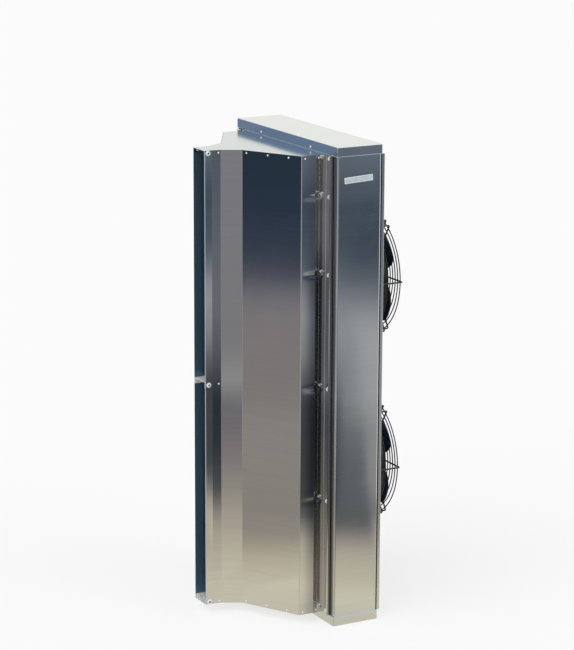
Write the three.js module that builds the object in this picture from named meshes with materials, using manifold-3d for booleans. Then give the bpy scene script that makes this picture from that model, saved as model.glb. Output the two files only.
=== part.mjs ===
// Industrial two-fan air curtain: a tall sheet-metal casing that breathes in through two
// axial fans on its back and blows out through a long tapering nozzle on its front.
// Millimetres. +Z is up, the air leaves towards -Y, and the origin is the middle of the
// casing's underside.

import * as THREE from 'three';
import { mergeVertices } from 'three/addons/utils/BufferGeometryUtils.js';
import Module from 'manifold-3d';

const wasm = await Module();
wasm.setup();

// ---------------------------------------------------------------- driving dimensions

// casing
const CASING_WIDTH = 860;
const CASING_DEPTH = 210;
const CASING_HEIGHT = 2000;
const SHEET = 2;
const CLEARANCE = 0.3;
const PANEL_FOLD_RADIUS = 9;
const CAP_CORNER_RADIUS = 5;
const CAP_SKIRT = 40;
const REAR_RETURN = 30;

// fan plate on the back of the casing
const FAN_PLATE_RIM = 14;

// brace across the inside of the casing
const BRACE_HEIGHT = 44;
const BRACE_FLANGE = 30;

// nozzle, measured in plan from the casing's front
const NOZZLE_DEPTH = 396;
const NOZZLE_ROOT_WIDTH = 684;
const NOZZLE_ROOT_DEPTH = 111;
const NOZZLE_NECK_WIDTH = 190;
const NOZZLE_NECK_FROM_OUTLET = 148;
const NOZZLE_THROAT_WIDTH = 110;
const NOZZLE_THROAT_FROM_OUTLET = 71;
const OUTLET_WIDTH = 98;
const OUTLET_LIP = 34;
const NOZZLE_FLANGE_SHARE = 0.64;
const NOZZLE_FLANGE_LIP = 15;
const END_PLATE_RIM = 18;
const END_PLATE_LIP = 22;
const SPACER_DEPTH = 62;
const SPACER_TAB = 24;

// fasteners
const BOLT_RADIUS = 4;
const BOLT_HOLE_RADIUS = 4.6;
const BOLT_HEAD_RADIUS = 7.5;
const BOLT_HEAD_HEIGHT = 5.5;
const WASHER_RADIUS = 10;
const WASHER_THICKNESS = 1.6;
const FLANGE_BOLT_SHANK = 12;
const OUTLET_BOLT_SHANK = 11;
const FLANGE_BOLT_ROWS = 5;
const FLANGE_BOLT_END_MARGIN = 13;
const FLANGE_BOLT_SHARE = 0.35;
const EXTRA_BOLT_DROP = 155;
const OUTLET_BOLT_SETBACK = 17;
const OUTLET_BOLT_END_MARGIN = 11;

// fans
const LOWER_FAN_HEIGHT = 587;
const UPPER_FAN_DROP = 616;
const INLET_RADIUS = 250;
const INLET_COLLAR = 122;
const INLET_BELL_RADIUS = 12;
const INLET_FOOT = 14;

// guard of welded wire over each fan
const GUARD_RADIUS = 262;
const GUARD_STANDOFF = 178;
const GUARD_RING_PITCH = 20;
const GUARD_RING_WIRE = 2.5;
const GUARD_ROD_WIRE = 3.5;
const GUARD_WELD = 1.5;
const GUARD_ARM_OVERHANG = 10;
const GUARD_DIAGONAL_ANGLE = 57;
const GUARD_PAIR_GAP = 33;
const GUARD_FOOT = 18;
const GUARD_CENTRE_RADIUS = 82;
const GUARD_CENTRE_THICKNESS = 3;
const GUARD_CENTRE_OVERLAP = 14;

// external-rotor motor and its blades
const MOTOR_FLANGE_RADIUS = 64;
const MOTOR_FLANGE_THICKNESS = 6;
const MOTOR_CORE_RADIUS = 46;
const SHAFT_RADIUS = 10;
const SHAFT_CLEARANCE = 0.3;
const SHAFT_END = 5;
const ROTOR_RADIUS = 69;
const ROTOR_WALL = 16;
const ROTOR_FRONT_WALL = 6;
const ROTOR_LENGTH = 106;
const ROTOR_FLANGE_GAP = 3;
const BLADE_COUNT = 5;
const BLADE_TIP_GAP = 4;
const BLADE_THICKNESS = 3;
const BLADE_ROOT_CHORD = 80;
const BLADE_TIP_CHORD = 222;
const BLADE_ROOT_PITCH = 36;
const BLADE_TIP_PITCH = 9;
const BLADE_RAKE = 6;
const BLADE_REST_TURN = 33;
const BLADE_SWEEP = 50;
const BLADE_CAMBER = 9;
const BLADE_SETBACK = 2;
const BLADE_ROOT_SINK = 6;

// wiring inside and the bare plate on the side
const JUNCTION_BOX_WIDTH = 110;
const JUNCTION_BOX_HEIGHT = 150;
const JUNCTION_BOX_DEPTH = 62;
const JUNCTION_BOX_WALL = 3;
const JUNCTION_BOX_DROP = 130;
const GLAND_HOLE_RADIUS = 10;
const GLAND_RADIUS = 13;
const GLAND_LENGTH = 18;
const GLAND_NUT_LENGTH = 12.6;
const GLAND_THREAD_INSIDE = 6;
const PLATE_WIDTH = 130;
const PLATE_HEIGHT = 25;
const PLATE_THICKNESS = 0.8;
const PLATE_DROP = 94;
const PLATE_OFFSET = -4;
const PLATE_TILT = 3;

// facets
const ROUND_FINE = 32;
const ROUND_COARSE = 18;
const ROUND_SMALL = 8;
const ROUND_WIRE = 4;
const PANEL_FOLD_STEPS = 3;
const RING_FACET = 80;
const RING_FACETS_LEAST = 12;
const BLADE_STEPS_OUT = 5;
const BLADE_STEPS_ACROSS = 5;

// ---------------------------------------------------------------- derived places

const HALF_WIDTH = CASING_WIDTH / 2;
const HALF_DEPTH = CASING_DEPTH / 2;
const CAP_STEP = SHEET + CLEARANCE;

const PANEL_X = HALF_WIDTH - CAP_STEP;
const PANEL_FRONT = -HALF_DEPTH + CAP_STEP;
const PANEL_BACK = HALF_DEPTH - CAP_STEP;
const PANEL_BOTTOM = CAP_STEP;
const PANEL_TOP = CASING_HEIGHT - CAP_STEP;

const BETWEEN_CAPS_BOTTOM = CAP_SKIRT + CLEARANCE;
const BETWEEN_CAPS_TOP = CASING_HEIGHT - CAP_SKIRT - CLEARANCE;
const MID_HEIGHT = CASING_HEIGHT / 2;
const CUT_OVERRUN = 4;

const FAN_PLATE_FRONT = PANEL_BACK + CLEARANCE;
const FAN_PLATE_BACK = FAN_PLATE_FRONT + FAN_PLATE_RIM;

const FLANGE_BACK = PANEL_FRONT - CLEARANCE;
const FLANGE_FRONT = FLANGE_BACK - SHEET;
const OUTLET_Y = -HALF_DEPTH - NOZZLE_DEPTH;
// the shares are of the casing's front that is left beside the nozzle
const BESIDE_NOZZLE = (CASING_WIDTH - NOZZLE_ROOT_WIDTH) / 2;
const FLANGE_EDGE_X = NOZZLE_ROOT_WIDTH / 2 + NOZZLE_FLANGE_SHARE * BESIDE_NOZZLE;
const FLANGE_BOLT_X = NOZZLE_ROOT_WIDTH / 2 + FLANGE_BOLT_SHARE * BESIDE_NOZZLE;
const RETURN_EDGE_X = NOZZLE_ROOT_WIDTH / 2 - CLEARANCE;

const FAN_HEIGHTS = { lower: LOWER_FAN_HEIGHT, upper: CASING_HEIGHT - UPPER_FAN_DROP };
const SIDES = { right: 1, left: -1 };

// plan of the right nozzle wall's outer face, from its root to the outlet
const WALL_PLAN = [
  [NOZZLE_ROOT_WIDTH / 2, FLANGE_FRONT],
  [NOZZLE_ROOT_WIDTH / 2, -HALF_DEPTH - NOZZLE_ROOT_DEPTH],
  [NOZZLE_NECK_WIDTH / 2, OUTLET_Y + NOZZLE_NECK_FROM_OUTLET],
  [NOZZLE_THROAT_WIDTH / 2, OUTLET_Y + NOZZLE_THROAT_FROM_OUTLET],
  [OUTLET_WIDTH / 2, OUTLET_Y + OUTLET_LIP],
  [OUTLET_WIDTH / 2, OUTLET_Y],
];

// ---------------------------------------------------------------- shape helpers

const radians = THREE.MathUtils.degToRad;

// A closed mesh as a solid that can be cut and joined.
function solidOf(geometry) {
  const bare = geometry.clone();
  bare.deleteAttribute('normal');
  bare.deleteAttribute('uv');
  const merged = mergeVertices(bare, 1e-4);
  return new wasm.Manifold(new wasm.Mesh({
    numProp: 3,
    vertProperties: new Float32Array(merged.attributes.position.array),
    triVerts: new Uint32Array(merged.index.array),
  }));
}

// A solid as a geometry for a mesh.
function geometryOf(solid) {
  const { vertProperties, triVerts } = solid.getMesh();
  const geometry = new THREE.BufferGeometry();
  geometry.setAttribute('position', new THREE.BufferAttribute(vertProperties, 3));
  geometry.setIndex(new THREE.BufferAttribute(triVerts, 1));
  geometry.computeVertexNormals();
  return geometry;
}

const joined = (solids) => solids.reduce((whole, solid) => whole.add(solid));
const cutBy = (solid, cutters) => cutters.reduce((rest, cutter) => rest.subtract(cutter), solid);

const vectorsOf = (points) => points.map((point) => new THREE.Vector2(...point));

// The points [x, y] with each inner corner turned into an arc of this many steps.
function roundedPath(points, radius, steps = 2) {
  const vectors = vectorsOf(points);
  const arcs = vectors.slice(1, -1).flatMap((corner, i) => {
    const before = vectors[i].clone().sub(corner).normalize();
    const after = vectors[i + 2].clone().sub(corner).normalize();
    const half = before.angleTo(after) / 2;
    const reach = radius / Math.tan(half);
    const middle = before.clone().add(after).normalize();
    const centre = corner.clone().addScaledVector(middle, radius / Math.sin(half));
    const from = corner.clone().addScaledVector(before, reach).sub(centre);
    const to = corner.clone().addScaledVector(after, reach).sub(centre);
    const turn = Math.atan2(from.cross(to), from.dot(to));
    return Array.from({ length: steps + 1 }, (_, k) => {
      const spoke = from.clone().rotateAround(new THREE.Vector2(), (turn * k) / steps);
      return [centre.x + spoke.x, centre.y + spoke.y];
    });
  });
  return [points[0], ...arcs, points[points.length - 1]];
}

// An open path moved sideways, to its left when the distance is positive, with mitred corners.
function movedPath(points, distance) {
  const vectors = vectorsOf(points);
  const normals = vectors.slice(1).map((point, i) => {
    const step = point.clone().sub(vectors[i]).normalize();
    return new THREE.Vector2(-step.y, step.x);
  });
  return vectors.map((point, i) => {
    const behind = normals[Math.max(i - 1, 0)];
    const ahead = normals[Math.min(i, normals.length - 1)];
    const mitre = behind.clone().add(ahead).divideScalar(1 + behind.dot(ahead));
    return [point.x + mitre.x * distance, point.y + mitre.y * distance];
  });
}

// The closed outline of a sheet that follows a path, with its thickness to the path's left.
const sheetOutline = (path, thickness) => [...path, ...movedPath(path, thickness).reverse()];

const mirrored = (points) => points.map(([x, y]) => [-x, y]).reverse();

// An outline in plan raised from one height to another.
function upright(points, bottom, top) {
  const outline = new THREE.Shape(vectorsOf(points));
  const geometry = new THREE.ExtrudeGeometry(outline, { depth: top - bottom, bevelEnabled: false });
  geometry.translate(0, 0, bottom);
  return geometry;
}

// A rectangle in plan with rounded corners.
function roundedRectangle(x0, y0, x1, y1, radius) {
  const middle = (y0 + y1) / 2;
  const loop = [[x1, middle], [x1, y1], [x0, y1], [x0, y0], [x1, y0], [x1, middle]];
  return roundedPath(loop, radius).slice(0, -1);
}

// A box between two corners.
function boxBetween(low, high) {
  const size = high.map((value, i) => value - low[i]);
  const geometry = new THREE.BoxGeometry(...size);
  geometry.translate(...low.map((value, i) => value + size[i] / 2));
  return geometry;
}

// A round bar along Y between two places.
function barAlongY(radius, y0, y1, facets, x = 0, z = 0) {
  const geometry = new THREE.CylinderGeometry(radius, radius, y1 - y0, facets);
  geometry.translate(x, (y0 + y1) / 2, z);
  return geometry;
}

// A round bar along X, centred at one place.
function barAlongX(radius, length, facets, place) {
  const geometry = new THREE.CylinderGeometry(radius, radius, length, facets);
  geometry.rotateZ(Math.PI / 2);
  geometry.translate(...place);
  return geometry;
}

// A profile of [radius, y] points turned about the Y axis. It runs from axis to axis, or it is
// closed here.
function turned(profile, facets) {
  const points = vectorsOf(profile);
  if (THREE.ShapeUtils.isClockWise(points)) points.reverse();
  if (points[0].x > 0) points.push(points[0].clone());
  return new THREE.LatheGeometry(points, facets);
}

const object = new THREE.Group();

const finishes = {
  sheet: { color: 0xa9a9a6, roughness: 0.34, metalness: 0.9 },
  plate: { color: 0xc9cbcc, roughness: 0.45, metalness: 0.6 },
  bolt: { color: 0xd6d8da, roughness: 0.25, metalness: 1 },
  wire: { color: 0x16181c, roughness: 0.4, metalness: 0.3 },
  blade: { color: 0x1c2230, roughness: 0.45, metalness: 0.3 },
  motor: { color: 0x24272c, roughness: 0.5, metalness: 0.4 },
  plastic: { color: 0x2b2d30, roughness: 0.6, metalness: 0 },
};

// One named piece of the object.
function addPiece(name, finish, geometry, place = [0, 0, 0]) {
  const mesh = new THREE.Mesh(geometry, new THREE.MeshStandardMaterial(finishes[finish]));
  mesh.name = name;
  mesh.position.set(...place);
  object.add(mesh);
}

// ---------------------------------------------------------------- casing

// Heights of the bolts down each nozzle flange: even rows and one more near the top.
function flangeBoltHeights() {
  const low = BETWEEN_CAPS_BOTTOM + FLANGE_BOLT_END_MARGIN;
  const high = BETWEEN_CAPS_TOP - FLANGE_BOLT_END_MARGIN;
  const pitch = (high - low) / (FLANGE_BOLT_ROWS - 1);
  const rows = Array.from({ length: FLANGE_BOLT_ROWS }, (_, i) => low + i * pitch);
  return [...rows, high - EXTRA_BOLT_DROP].sort((a, b) => a - b);
}

// Holes for the flange bolts, through everything they clamp on one side.
function flangeBoltHoles(side) {
  const from = FLANGE_FRONT - CUT_OVERRUN;
  const to = PANEL_FRONT + FLANGE_BOLT_SHANK;
  return flangeBoltHeights().map((z) => solidOf(
    barAlongY(BOLT_HOLE_RADIUS, from, to, ROUND_SMALL, side * FLANGE_BOLT_X, z),
  ));
}

// The shallow tray that closes the casing's top or bottom, with its skirt outside the panels.
function capTray() {
  const outline = (inset) => {
    const [x, y] = [HALF_WIDTH - inset, HALF_DEPTH - inset];
    return roundedRectangle(-x, -y, x, y, CAP_CORNER_RADIUS - inset);
  };
  const block = solidOf(upright(outline(0), 0, CAP_SKIRT));
  return block.subtract(solidOf(upright(outline(SHEET), SHEET, CAP_SKIRT + CUT_OVERRUN)));
}

function addCaps() {
  addPiece('bottom_cap', 'sheet', geometryOf(capTray()));
  const lid = geometryOf(capTray());
  lid.rotateX(Math.PI);
  addPiece('top_cap', 'sheet', lid, [0, 0, CASING_HEIGHT]);
}

// A side of the casing: one sheet folded round to the front, where the nozzle bolts on,
// and to the back, where the fan plate rests.
function sidePanel(side) {
  const plan = [
    [PANEL_X - REAR_RETURN, PANEL_BACK],
    [PANEL_X, PANEL_BACK],
    [PANEL_X, PANEL_FRONT],
    [RETURN_EDGE_X, PANEL_FRONT],
  ];
  const outline = sheetOutline(roundedPath(plan, PANEL_FOLD_RADIUS, PANEL_FOLD_STEPS), -SHEET);
  const panel = solidOf(upright(side > 0 ? outline : mirrored(outline), PANEL_BOTTOM, PANEL_TOP));
  return cutBy(panel, flangeBoltHoles(side));
}

// The tray across the back that carries both fans.
function fanPlate() {
  const box = (inset, y0, y1) => solidOf(boxBetween(
    [-PANEL_X + inset, y0, BETWEEN_CAPS_BOTTOM + inset],
    [PANEL_X - inset, y1, BETWEEN_CAPS_TOP - inset],
  ));
  const tray = box(0, FAN_PLATE_FRONT, FAN_PLATE_BACK);
  const hollow = box(SHEET, FAN_PLATE_FRONT - CUT_OVERRUN, FAN_PLATE_BACK - SHEET);
  const from = FAN_PLATE_FRONT - CUT_OVERRUN;
  const to = FAN_PLATE_BACK + CUT_OVERRUN;
  const holes = Object.values(FAN_HEIGHTS).map((z) => solidOf(
    barAlongY(INLET_RADIUS, from, to, ROUND_FINE, 0, z),
  ));
  return cutBy(tray, [hollow, ...holes]);
}

// The channel that ties the two side panels together at half height, held by the middle bolts
// of the nozzle's flanges and notched round the panels' folds.
function brace() {
  const front = PANEL_FRONT + SHEET + CLEARANCE;
  const half = PANEL_X - SHEET - CLEARANCE;
  const low = MID_HEIGHT - BRACE_HEIGHT / 2;
  const high = MID_HEIGHT + BRACE_HEIGHT / 2;
  const bar = solidOf(boxBetween([-half, front, low], [half, front + BRACE_FLANGE, high]));
  const hollow = solidOf(boxBetween(
    [-half - CUT_OVERRUN, front + SHEET, low + SHEET],
    [half + CUT_OVERRUN, front + BRACE_FLANGE + CUT_OVERRUN, high - SHEET],
  ));
  const corner = PANEL_FOLD_RADIUS + CLEARANCE;
  const notches = Object.values(SIDES).map((side) => solidOf(boxBetween(
    [side * half - corner, front - CUT_OVERRUN, low - CUT_OVERRUN],
    [side * half + corner, front + corner, high + CUT_OVERRUN],
  )));
  return cutBy(bar, [hollow, ...notches, ...Object.values(SIDES).flatMap(flangeBoltHoles)]);
}

function addCasing() {
  addCaps();
  const gland = solidOf(glandHoleCutter());
  addPiece('side_panel_right', 'sheet', geometryOf(sidePanel(SIDES.right)));
  addPiece('side_panel_left', 'sheet', geometryOf(sidePanel(SIDES.left).subtract(gland)));
  addPiece('fan_plate', 'sheet', geometryOf(fanPlate()));
  addPiece('centre_brace', 'sheet', geometryOf(brace()));
}

// ---------------------------------------------------------------- nozzle

// The plan of what fits inside the right wall, with a clearance to it.
const innerHalfPlan = () => movedPath(WALL_PLAN, -(SHEET + CLEARANCE));

// The part of an open path that lies in front of a depth.
function pathInFrontOf(path, y) {
  const kept = path.filter((point) => point[1] < y);
  const last = path.filter((point) => point[1] >= y).pop();
  const share = (y - last[1]) / (kept[0][1] - last[1]);
  return [[last[0] + (kept[0][0] - last[0]) * share, y], ...kept];
}

// Holes for the bolts that pin the outlet lips to what lies between them.
function outletBoltHoles(heights) {
  const length = OUTLET_WIDTH + 2 * CUT_OVERRUN;
  return heights.map((z) => solidOf(
    barAlongX(BOLT_HOLE_RADIUS, length, ROUND_SMALL, [0, OUTLET_Y + OUTLET_BOLT_SETBACK, z]),
  ));
}

const OUTLET_BOLT_HEIGHTS = {
  bottom: BETWEEN_CAPS_BOTTOM + OUTLET_BOLT_END_MARGIN,
  middle: MID_HEIGHT - SPACER_TAB / 2,
  top: BETWEEN_CAPS_TOP - OUTLET_BOLT_END_MARGIN,
};

// A long wall of the nozzle: a lipped flange against the casing, then the bends to the outlet.
function nozzleWall(side) {
  const lipInner = FLANGE_EDGE_X - SHEET;
  const lip = [[lipInner, FLANGE_FRONT - NOZZLE_FLANGE_LIP], [lipInner, FLANGE_FRONT]];
  const path = [...lip, ...WALL_PLAN];
  const outline = sheetOutline(path, -SHEET);
  const plan = side > 0 ? outline : mirrored(outline);
  const wall = solidOf(upright(plan, BETWEEN_CAPS_BOTTOM, BETWEEN_CAPS_TOP));
  const outletHoles = outletBoltHoles(Object.values(OUTLET_BOLT_HEIGHTS));
  return cutBy(wall, [...flangeBoltHoles(side), ...outletHoles]);
}

// A plate that fits between the walls, with tabs turned up or, if negative, down along them.
function plateBetweenWalls(path, level, tab) {
  const plan = [...path, ...mirrored(path)];
  const plate = solidOf(upright(plan, level, level + SHEET));
  const inPlate = level + SHEET / 2;
  const [tabLow, tabHigh] = tab > 0 ? [inPlate, level + SHEET + tab] : [level + tab, inPlate];
  const strip = sheetOutline(path, -SHEET);
  const tabs = [strip, mirrored(strip)].map((outline) => solidOf(upright(outline, tabLow, tabHigh)));
  return joined([plate, ...tabs]);
}

// The nozzle's bottom plate. Its rear lip stands down behind the bottom cap's skirt.
function nozzleBottomPlate() {
  const level = BETWEEN_CAPS_BOTTOM;
  const inner = innerHalfPlan();
  const half = inner[0][0];
  const lipBack = PANEL_FRONT + SHEET;
  const path = [[half, lipBack], ...inner.slice(1)];
  const plate = plateBetweenWalls(path, level, END_PLATE_RIM);
  const lip = solidOf(boxBetween(
    [-half, PANEL_FRONT, level - END_PLATE_LIP],
    [half, lipBack, level + SHEET / 2],
  ));
  return cutBy(plate.add(lip), outletBoltHoles([OUTLET_BOLT_HEIGHTS.bottom]));
}

// The bar that holds the outlet's lips apart at half height.
function outletSpacer() {
  const path = pathInFrontOf(innerHalfPlan(), OUTLET_Y + SPACER_DEPTH);
  const spacer = plateBetweenWalls(path, MID_HEIGHT, -SPACER_TAB);
  return cutBy(spacer, outletBoltHoles([OUTLET_BOLT_HEIGHTS.middle]));
}

// A hexagon bolt with its washer, along Y, its washer's seat at y = 0 and its head towards -Y.
function bolt(shank) {
  const headFoot = -WASHER_THICKNESS;
  const hexagon = 6;
  return geometryOf(joined([
    solidOf(barAlongY(BOLT_HEAD_RADIUS, headFoot - BOLT_HEAD_HEIGHT, headFoot, hexagon)),
    solidOf(barAlongY(WASHER_RADIUS, headFoot, 0, ROUND_SMALL)),
    solidOf(barAlongY(BOLT_RADIUS, 0, shank, ROUND_SMALL)),
  ]));
}

function addNozzle() {
  Object.entries(SIDES).forEach(([name, side]) => {
    addPiece(`nozzle_wall_${name}`, 'sheet', geometryOf(nozzleWall(side)));
  });
  const bottomPlate = geometryOf(nozzleBottomPlate());
  const topPlate = bottomPlate.clone();
  topPlate.applyMatrix4(new THREE.Matrix4().makeScale(1, 1, -1));
  topPlate.index.array.reverse();
  addPiece('nozzle_bottom_plate', 'sheet', bottomPlate);
  addPiece('nozzle_top_plate', 'sheet', topPlate, [0, 0, CASING_HEIGHT]);
  addPiece('outlet_spacer', 'sheet', geometryOf(outletSpacer()));
}

function addBolts() {
  Object.entries(SIDES).forEach(([name, side]) => {
    flangeBoltHeights().forEach((z, i) => {
      const place = [side * FLANGE_BOLT_X, FLANGE_FRONT, z];
      addPiece(`flange_bolt_${name}_${i + 1}`, 'bolt', bolt(FLANGE_BOLT_SHANK), place);
    });
    Object.entries(OUTLET_BOLT_HEIGHTS).forEach(([level, z]) => {
      const geometry = bolt(OUTLET_BOLT_SHANK);
      geometry.rotateZ((side * Math.PI) / 2);
      const place = [(side * OUTLET_WIDTH) / 2, OUTLET_Y + OUTLET_BOLT_SETBACK, z];
      addPiece(`outlet_bolt_${name}_${level}`, 'bolt', geometry, place);
    });
  });
}

// ---------------------------------------------------------------- fans
// Each fan is drawn about the Y axis, with y = 0 on the outer face of the fan plate.

// The rolled inlet ring on the fan plate.
function inletRing() {
  const path = [
    [INLET_RADIUS + SHEET + INLET_FOOT, CLEARANCE],
    [INLET_RADIUS, CLEARANCE],
    [INLET_RADIUS, CLEARANCE + INLET_COLLAR],
    [INLET_RADIUS + INLET_BELL_RADIUS, CLEARANCE + INLET_COLLAR],
  ];
  const foot = [path[0], path[1]];
  const rise = roundedPath([path[1], path[2], path[3]], INLET_BELL_RADIUS - SHEET).slice(1);
  return turned(sheetOutline([...foot, ...rise], -SHEET), ROUND_FINE);
}

// A straight rod of the guard from radius r0 to r1, at a height y, moved sideways by a shift.
function radialRod(r0, r1, y, angle, shift) {
  const rod = barAlongX(GUARD_ROD_WIRE, r1 - r0, ROUND_WIRE, [(r0 + r1) / 2, y, shift]);
  rod.rotateY(angle);
  return solidOf(rod);
}

// One arm: a rod out over the rings, its leg down to the fan plate, and its foot.
function guardArm(angleDegrees, shift) {
  const angle = radians(angleDegrees);
  const rodY = GUARD_STANDOFF + GUARD_RING_WIRE + GUARD_ROD_WIRE - GUARD_WELD;
  const footY = GUARD_ROD_WIRE + CLEARANCE;
  const legRadius = GUARD_RADIUS + GUARD_ARM_OVERHANG;
  const legFoot = footY - GUARD_ROD_WIRE;
  const legTop = rodY + GUARD_ROD_WIRE;
  const leg = barAlongY(GUARD_ROD_WIRE, legFoot, legTop, ROUND_WIRE, legRadius, shift);
  leg.rotateY(angle);
  return joined([
    radialRod(GUARD_CENTRE_RADIUS - GUARD_CENTRE_OVERLAP, legRadius, rodY, angle, shift),
    solidOf(leg),
    radialRod(legRadius, legRadius + GUARD_FOOT, footY, angle, shift),
  ]);
}

// The wire guard: rings in one plane, welded under arms that stand on the fan plate.
function wireGuard() {
  const rings = [];
  const smallest = GUARD_CENTRE_RADIUS + GUARD_RING_PITCH / 2;
  for (let radius = GUARD_RADIUS; radius > smallest; radius -= GUARD_RING_PITCH) {
    const facets = Math.max(RING_FACETS_LEAST, Math.round((2 * Math.PI * radius) / RING_FACET));
    const ring = new THREE.TorusGeometry(radius, GUARD_RING_WIRE, ROUND_WIRE, facets);
    ring.rotateX(Math.PI / 2);
    ring.translate(0, GUARD_STANDOFF, 0);
    rings.push(solidOf(ring));
  }
  const d = GUARD_DIAGONAL_ANGLE;
  const singles = [0, 180].map((angle) => guardArm(angle, 0));
  const pairs = [d, 180 - d, 180 + d, -d].flatMap((angle) => [
    guardArm(angle, GUARD_PAIR_GAP / 2),
    guardArm(angle, -GUARD_PAIR_GAP / 2),
  ]);
  const centreTop = GUARD_STANDOFF + GUARD_CENTRE_THICKNESS;
  const centre = solidOf(barAlongY(GUARD_CENTRE_RADIUS, GUARD_STANDOFF, centreTop, ROUND_COARSE));
  return joined([centre, ...rings, ...singles, ...pairs]);
}

const MOTOR_SEAT = GUARD_STANDOFF - CLEARANCE;
const ROTOR_BACK = MOTOR_SEAT - MOTOR_FLANGE_THICKNESS - ROTOR_FLANGE_GAP;
const ROTOR_FRONT = ROTOR_BACK - ROTOR_LENGTH;
const ROTOR_CAVITY = ROTOR_FRONT + ROTOR_FRONT_WALL;

// The motor's still part: a flange on the guard, the wound core and the shaft.
function motorStator() {
  const flangeFront = MOTOR_SEAT - MOTOR_FLANGE_THICKNESS;
  const coreFront = ROTOR_CAVITY + ROTOR_FRONT_WALL;
  return turned([
    [0, MOTOR_SEAT],
    [MOTOR_FLANGE_RADIUS, MOTOR_SEAT],
    [MOTOR_FLANGE_RADIUS, flangeFront],
    [MOTOR_CORE_RADIUS, flangeFront],
    [MOTOR_CORE_RADIUS, coreFront],
    [SHAFT_RADIUS, coreFront],
    [SHAFT_RADIUS, ROTOR_FRONT - SHAFT_END],
    [0, ROTOR_FRONT - SHAFT_END],
  ], ROUND_COARSE);
}

// A blade: a block of u (root to tip), w (thickness) and v (along the chord), bent into a
// swept, twisted and cambered sheet. The chord turns from steep at the root to flat at the tip.
function blade(index) {
  const { lerp } = THREE.MathUtils;
  const rootRadius = ROTOR_RADIUS - BLADE_ROOT_SINK;
  const tipRadius = INLET_RADIUS - BLADE_TIP_GAP;
  const rootRise = (BLADE_ROOT_CHORD * Math.sin(radians(BLADE_ROOT_PITCH))) / 2;
  const middle = ROTOR_BACK - BLADE_SETBACK - rootRise;
  const restTurn = radians(BLADE_REST_TURN);
  const block = new THREE.BoxGeometry(1, 1, 1, BLADE_STEPS_OUT, 1, BLADE_STEPS_ACROSS);
  const position = block.attributes.position;
  for (let i = 0; i < position.count; i += 1) {
    const u = position.getX(i) + 0.5;
    const w = position.getY(i);
    const v = position.getZ(i);
    const radius = lerp(rootRadius, tipRadius, u);
    const chord = lerp(BLADE_ROOT_CHORD, BLADE_TIP_CHORD, u);
    const pitch = -radians(lerp(BLADE_ROOT_PITCH, BLADE_TIP_PITCH, Math.sqrt(u)));
    const arch = BLADE_CAMBER * (1 - 4 * v * v);
    const wall = (w * BLADE_THICKNESS) / Math.cos(pitch);
    const around = v * chord * Math.cos(pitch) - arch * Math.sin(pitch) + BLADE_SWEEP * u * u;
    const along = v * chord * Math.sin(pitch) + arch * Math.cos(pitch) + BLADE_RAKE * u + wall;
    const angle = restTurn + (2 * Math.PI * index) / BLADE_COUNT + around / radius;
    position.setXYZ(i, radius * Math.cos(angle), middle + along, radius * Math.sin(angle));
  }
  return solidOf(block);
}

// The turning part: the rotor can over the core, with the blades welded round it.
function fanRotor() {
  const cavityRadius = ROTOR_RADIUS - ROTOR_WALL;
  const bore = SHAFT_RADIUS + SHAFT_CLEARANCE;
  const can = solidOf(turned([
    [bore, ROTOR_FRONT],
    [ROTOR_RADIUS, ROTOR_FRONT],
    [ROTOR_RADIUS, ROTOR_BACK],
    [cavityRadius, ROTOR_BACK],
    [cavityRadius, ROTOR_CAVITY],
    [bore, ROTOR_CAVITY],
  ], ROUND_COARSE));
  const blades = Array.from({ length: BLADE_COUNT }, (_, index) => blade(index));
  return joined([can, ...blades]);
}

function addFans() {
  Object.entries(FAN_HEIGHTS).forEach(([level, z]) => {
    const place = [0, FAN_PLATE_BACK, z];
    addPiece(`inlet_ring_${level}`, 'sheet', inletRing(), place);
    addPiece(`guard_${level}`, 'wire', geometryOf(wireGuard()), place);
    addPiece(`motor_stator_${level}`, 'motor', motorStator(), place);
    addPiece(`fan_rotor_${level}`, 'blade', geometryOf(fanRotor()), place);
  });
}

// ---------------------------------------------------------------- wiring and plate

const BOX_TOP = PANEL_TOP - JUNCTION_BOX_DROP;
const BOX_MIDDLE = BOX_TOP - JUNCTION_BOX_HEIGHT / 2;
const BOX_BACK = -(PANEL_X - SHEET - CLEARANCE);

// The hole through the left panel for the cable gland.
function glandHoleCutter() {
  const length = 2 * (SHEET + JUNCTION_BOX_WALL + CUT_OVERRUN);
  return barAlongX(GLAND_HOLE_RADIUS, length, ROUND_SMALL, [-PANEL_X, 0, BOX_MIDDLE]);
}

// The open box for the fans' wiring, its back against the inside of the left panel.
function addJunctionBox() {
  const low = [BOX_BACK, -JUNCTION_BOX_WIDTH / 2, BOX_TOP - JUNCTION_BOX_HEIGHT];
  const high = [BOX_BACK + JUNCTION_BOX_DEPTH, JUNCTION_BOX_WIDTH / 2, BOX_TOP];
  const wall = JUNCTION_BOX_WALL;
  const hollowLow = low.map((value) => value + wall);
  const hollowHigh = [high[0] + wall, high[1] - wall, high[2] - wall];
  const cuts = [boxBetween(hollowLow, hollowHigh), glandHoleCutter()].map(solidOf);
  addPiece('junction_box', 'plastic', geometryOf(cutBy(solidOf(boxBetween(low, high)), cuts)));
  const lidLow = [high[0] + CLEARANCE, low[1], low[2]];
  const lidHigh = [high[0] + CLEARANCE + wall, high[1], high[2]];
  addPiece('junction_box_lid', 'plastic', boxBetween(lidLow, lidHigh));
}

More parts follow.
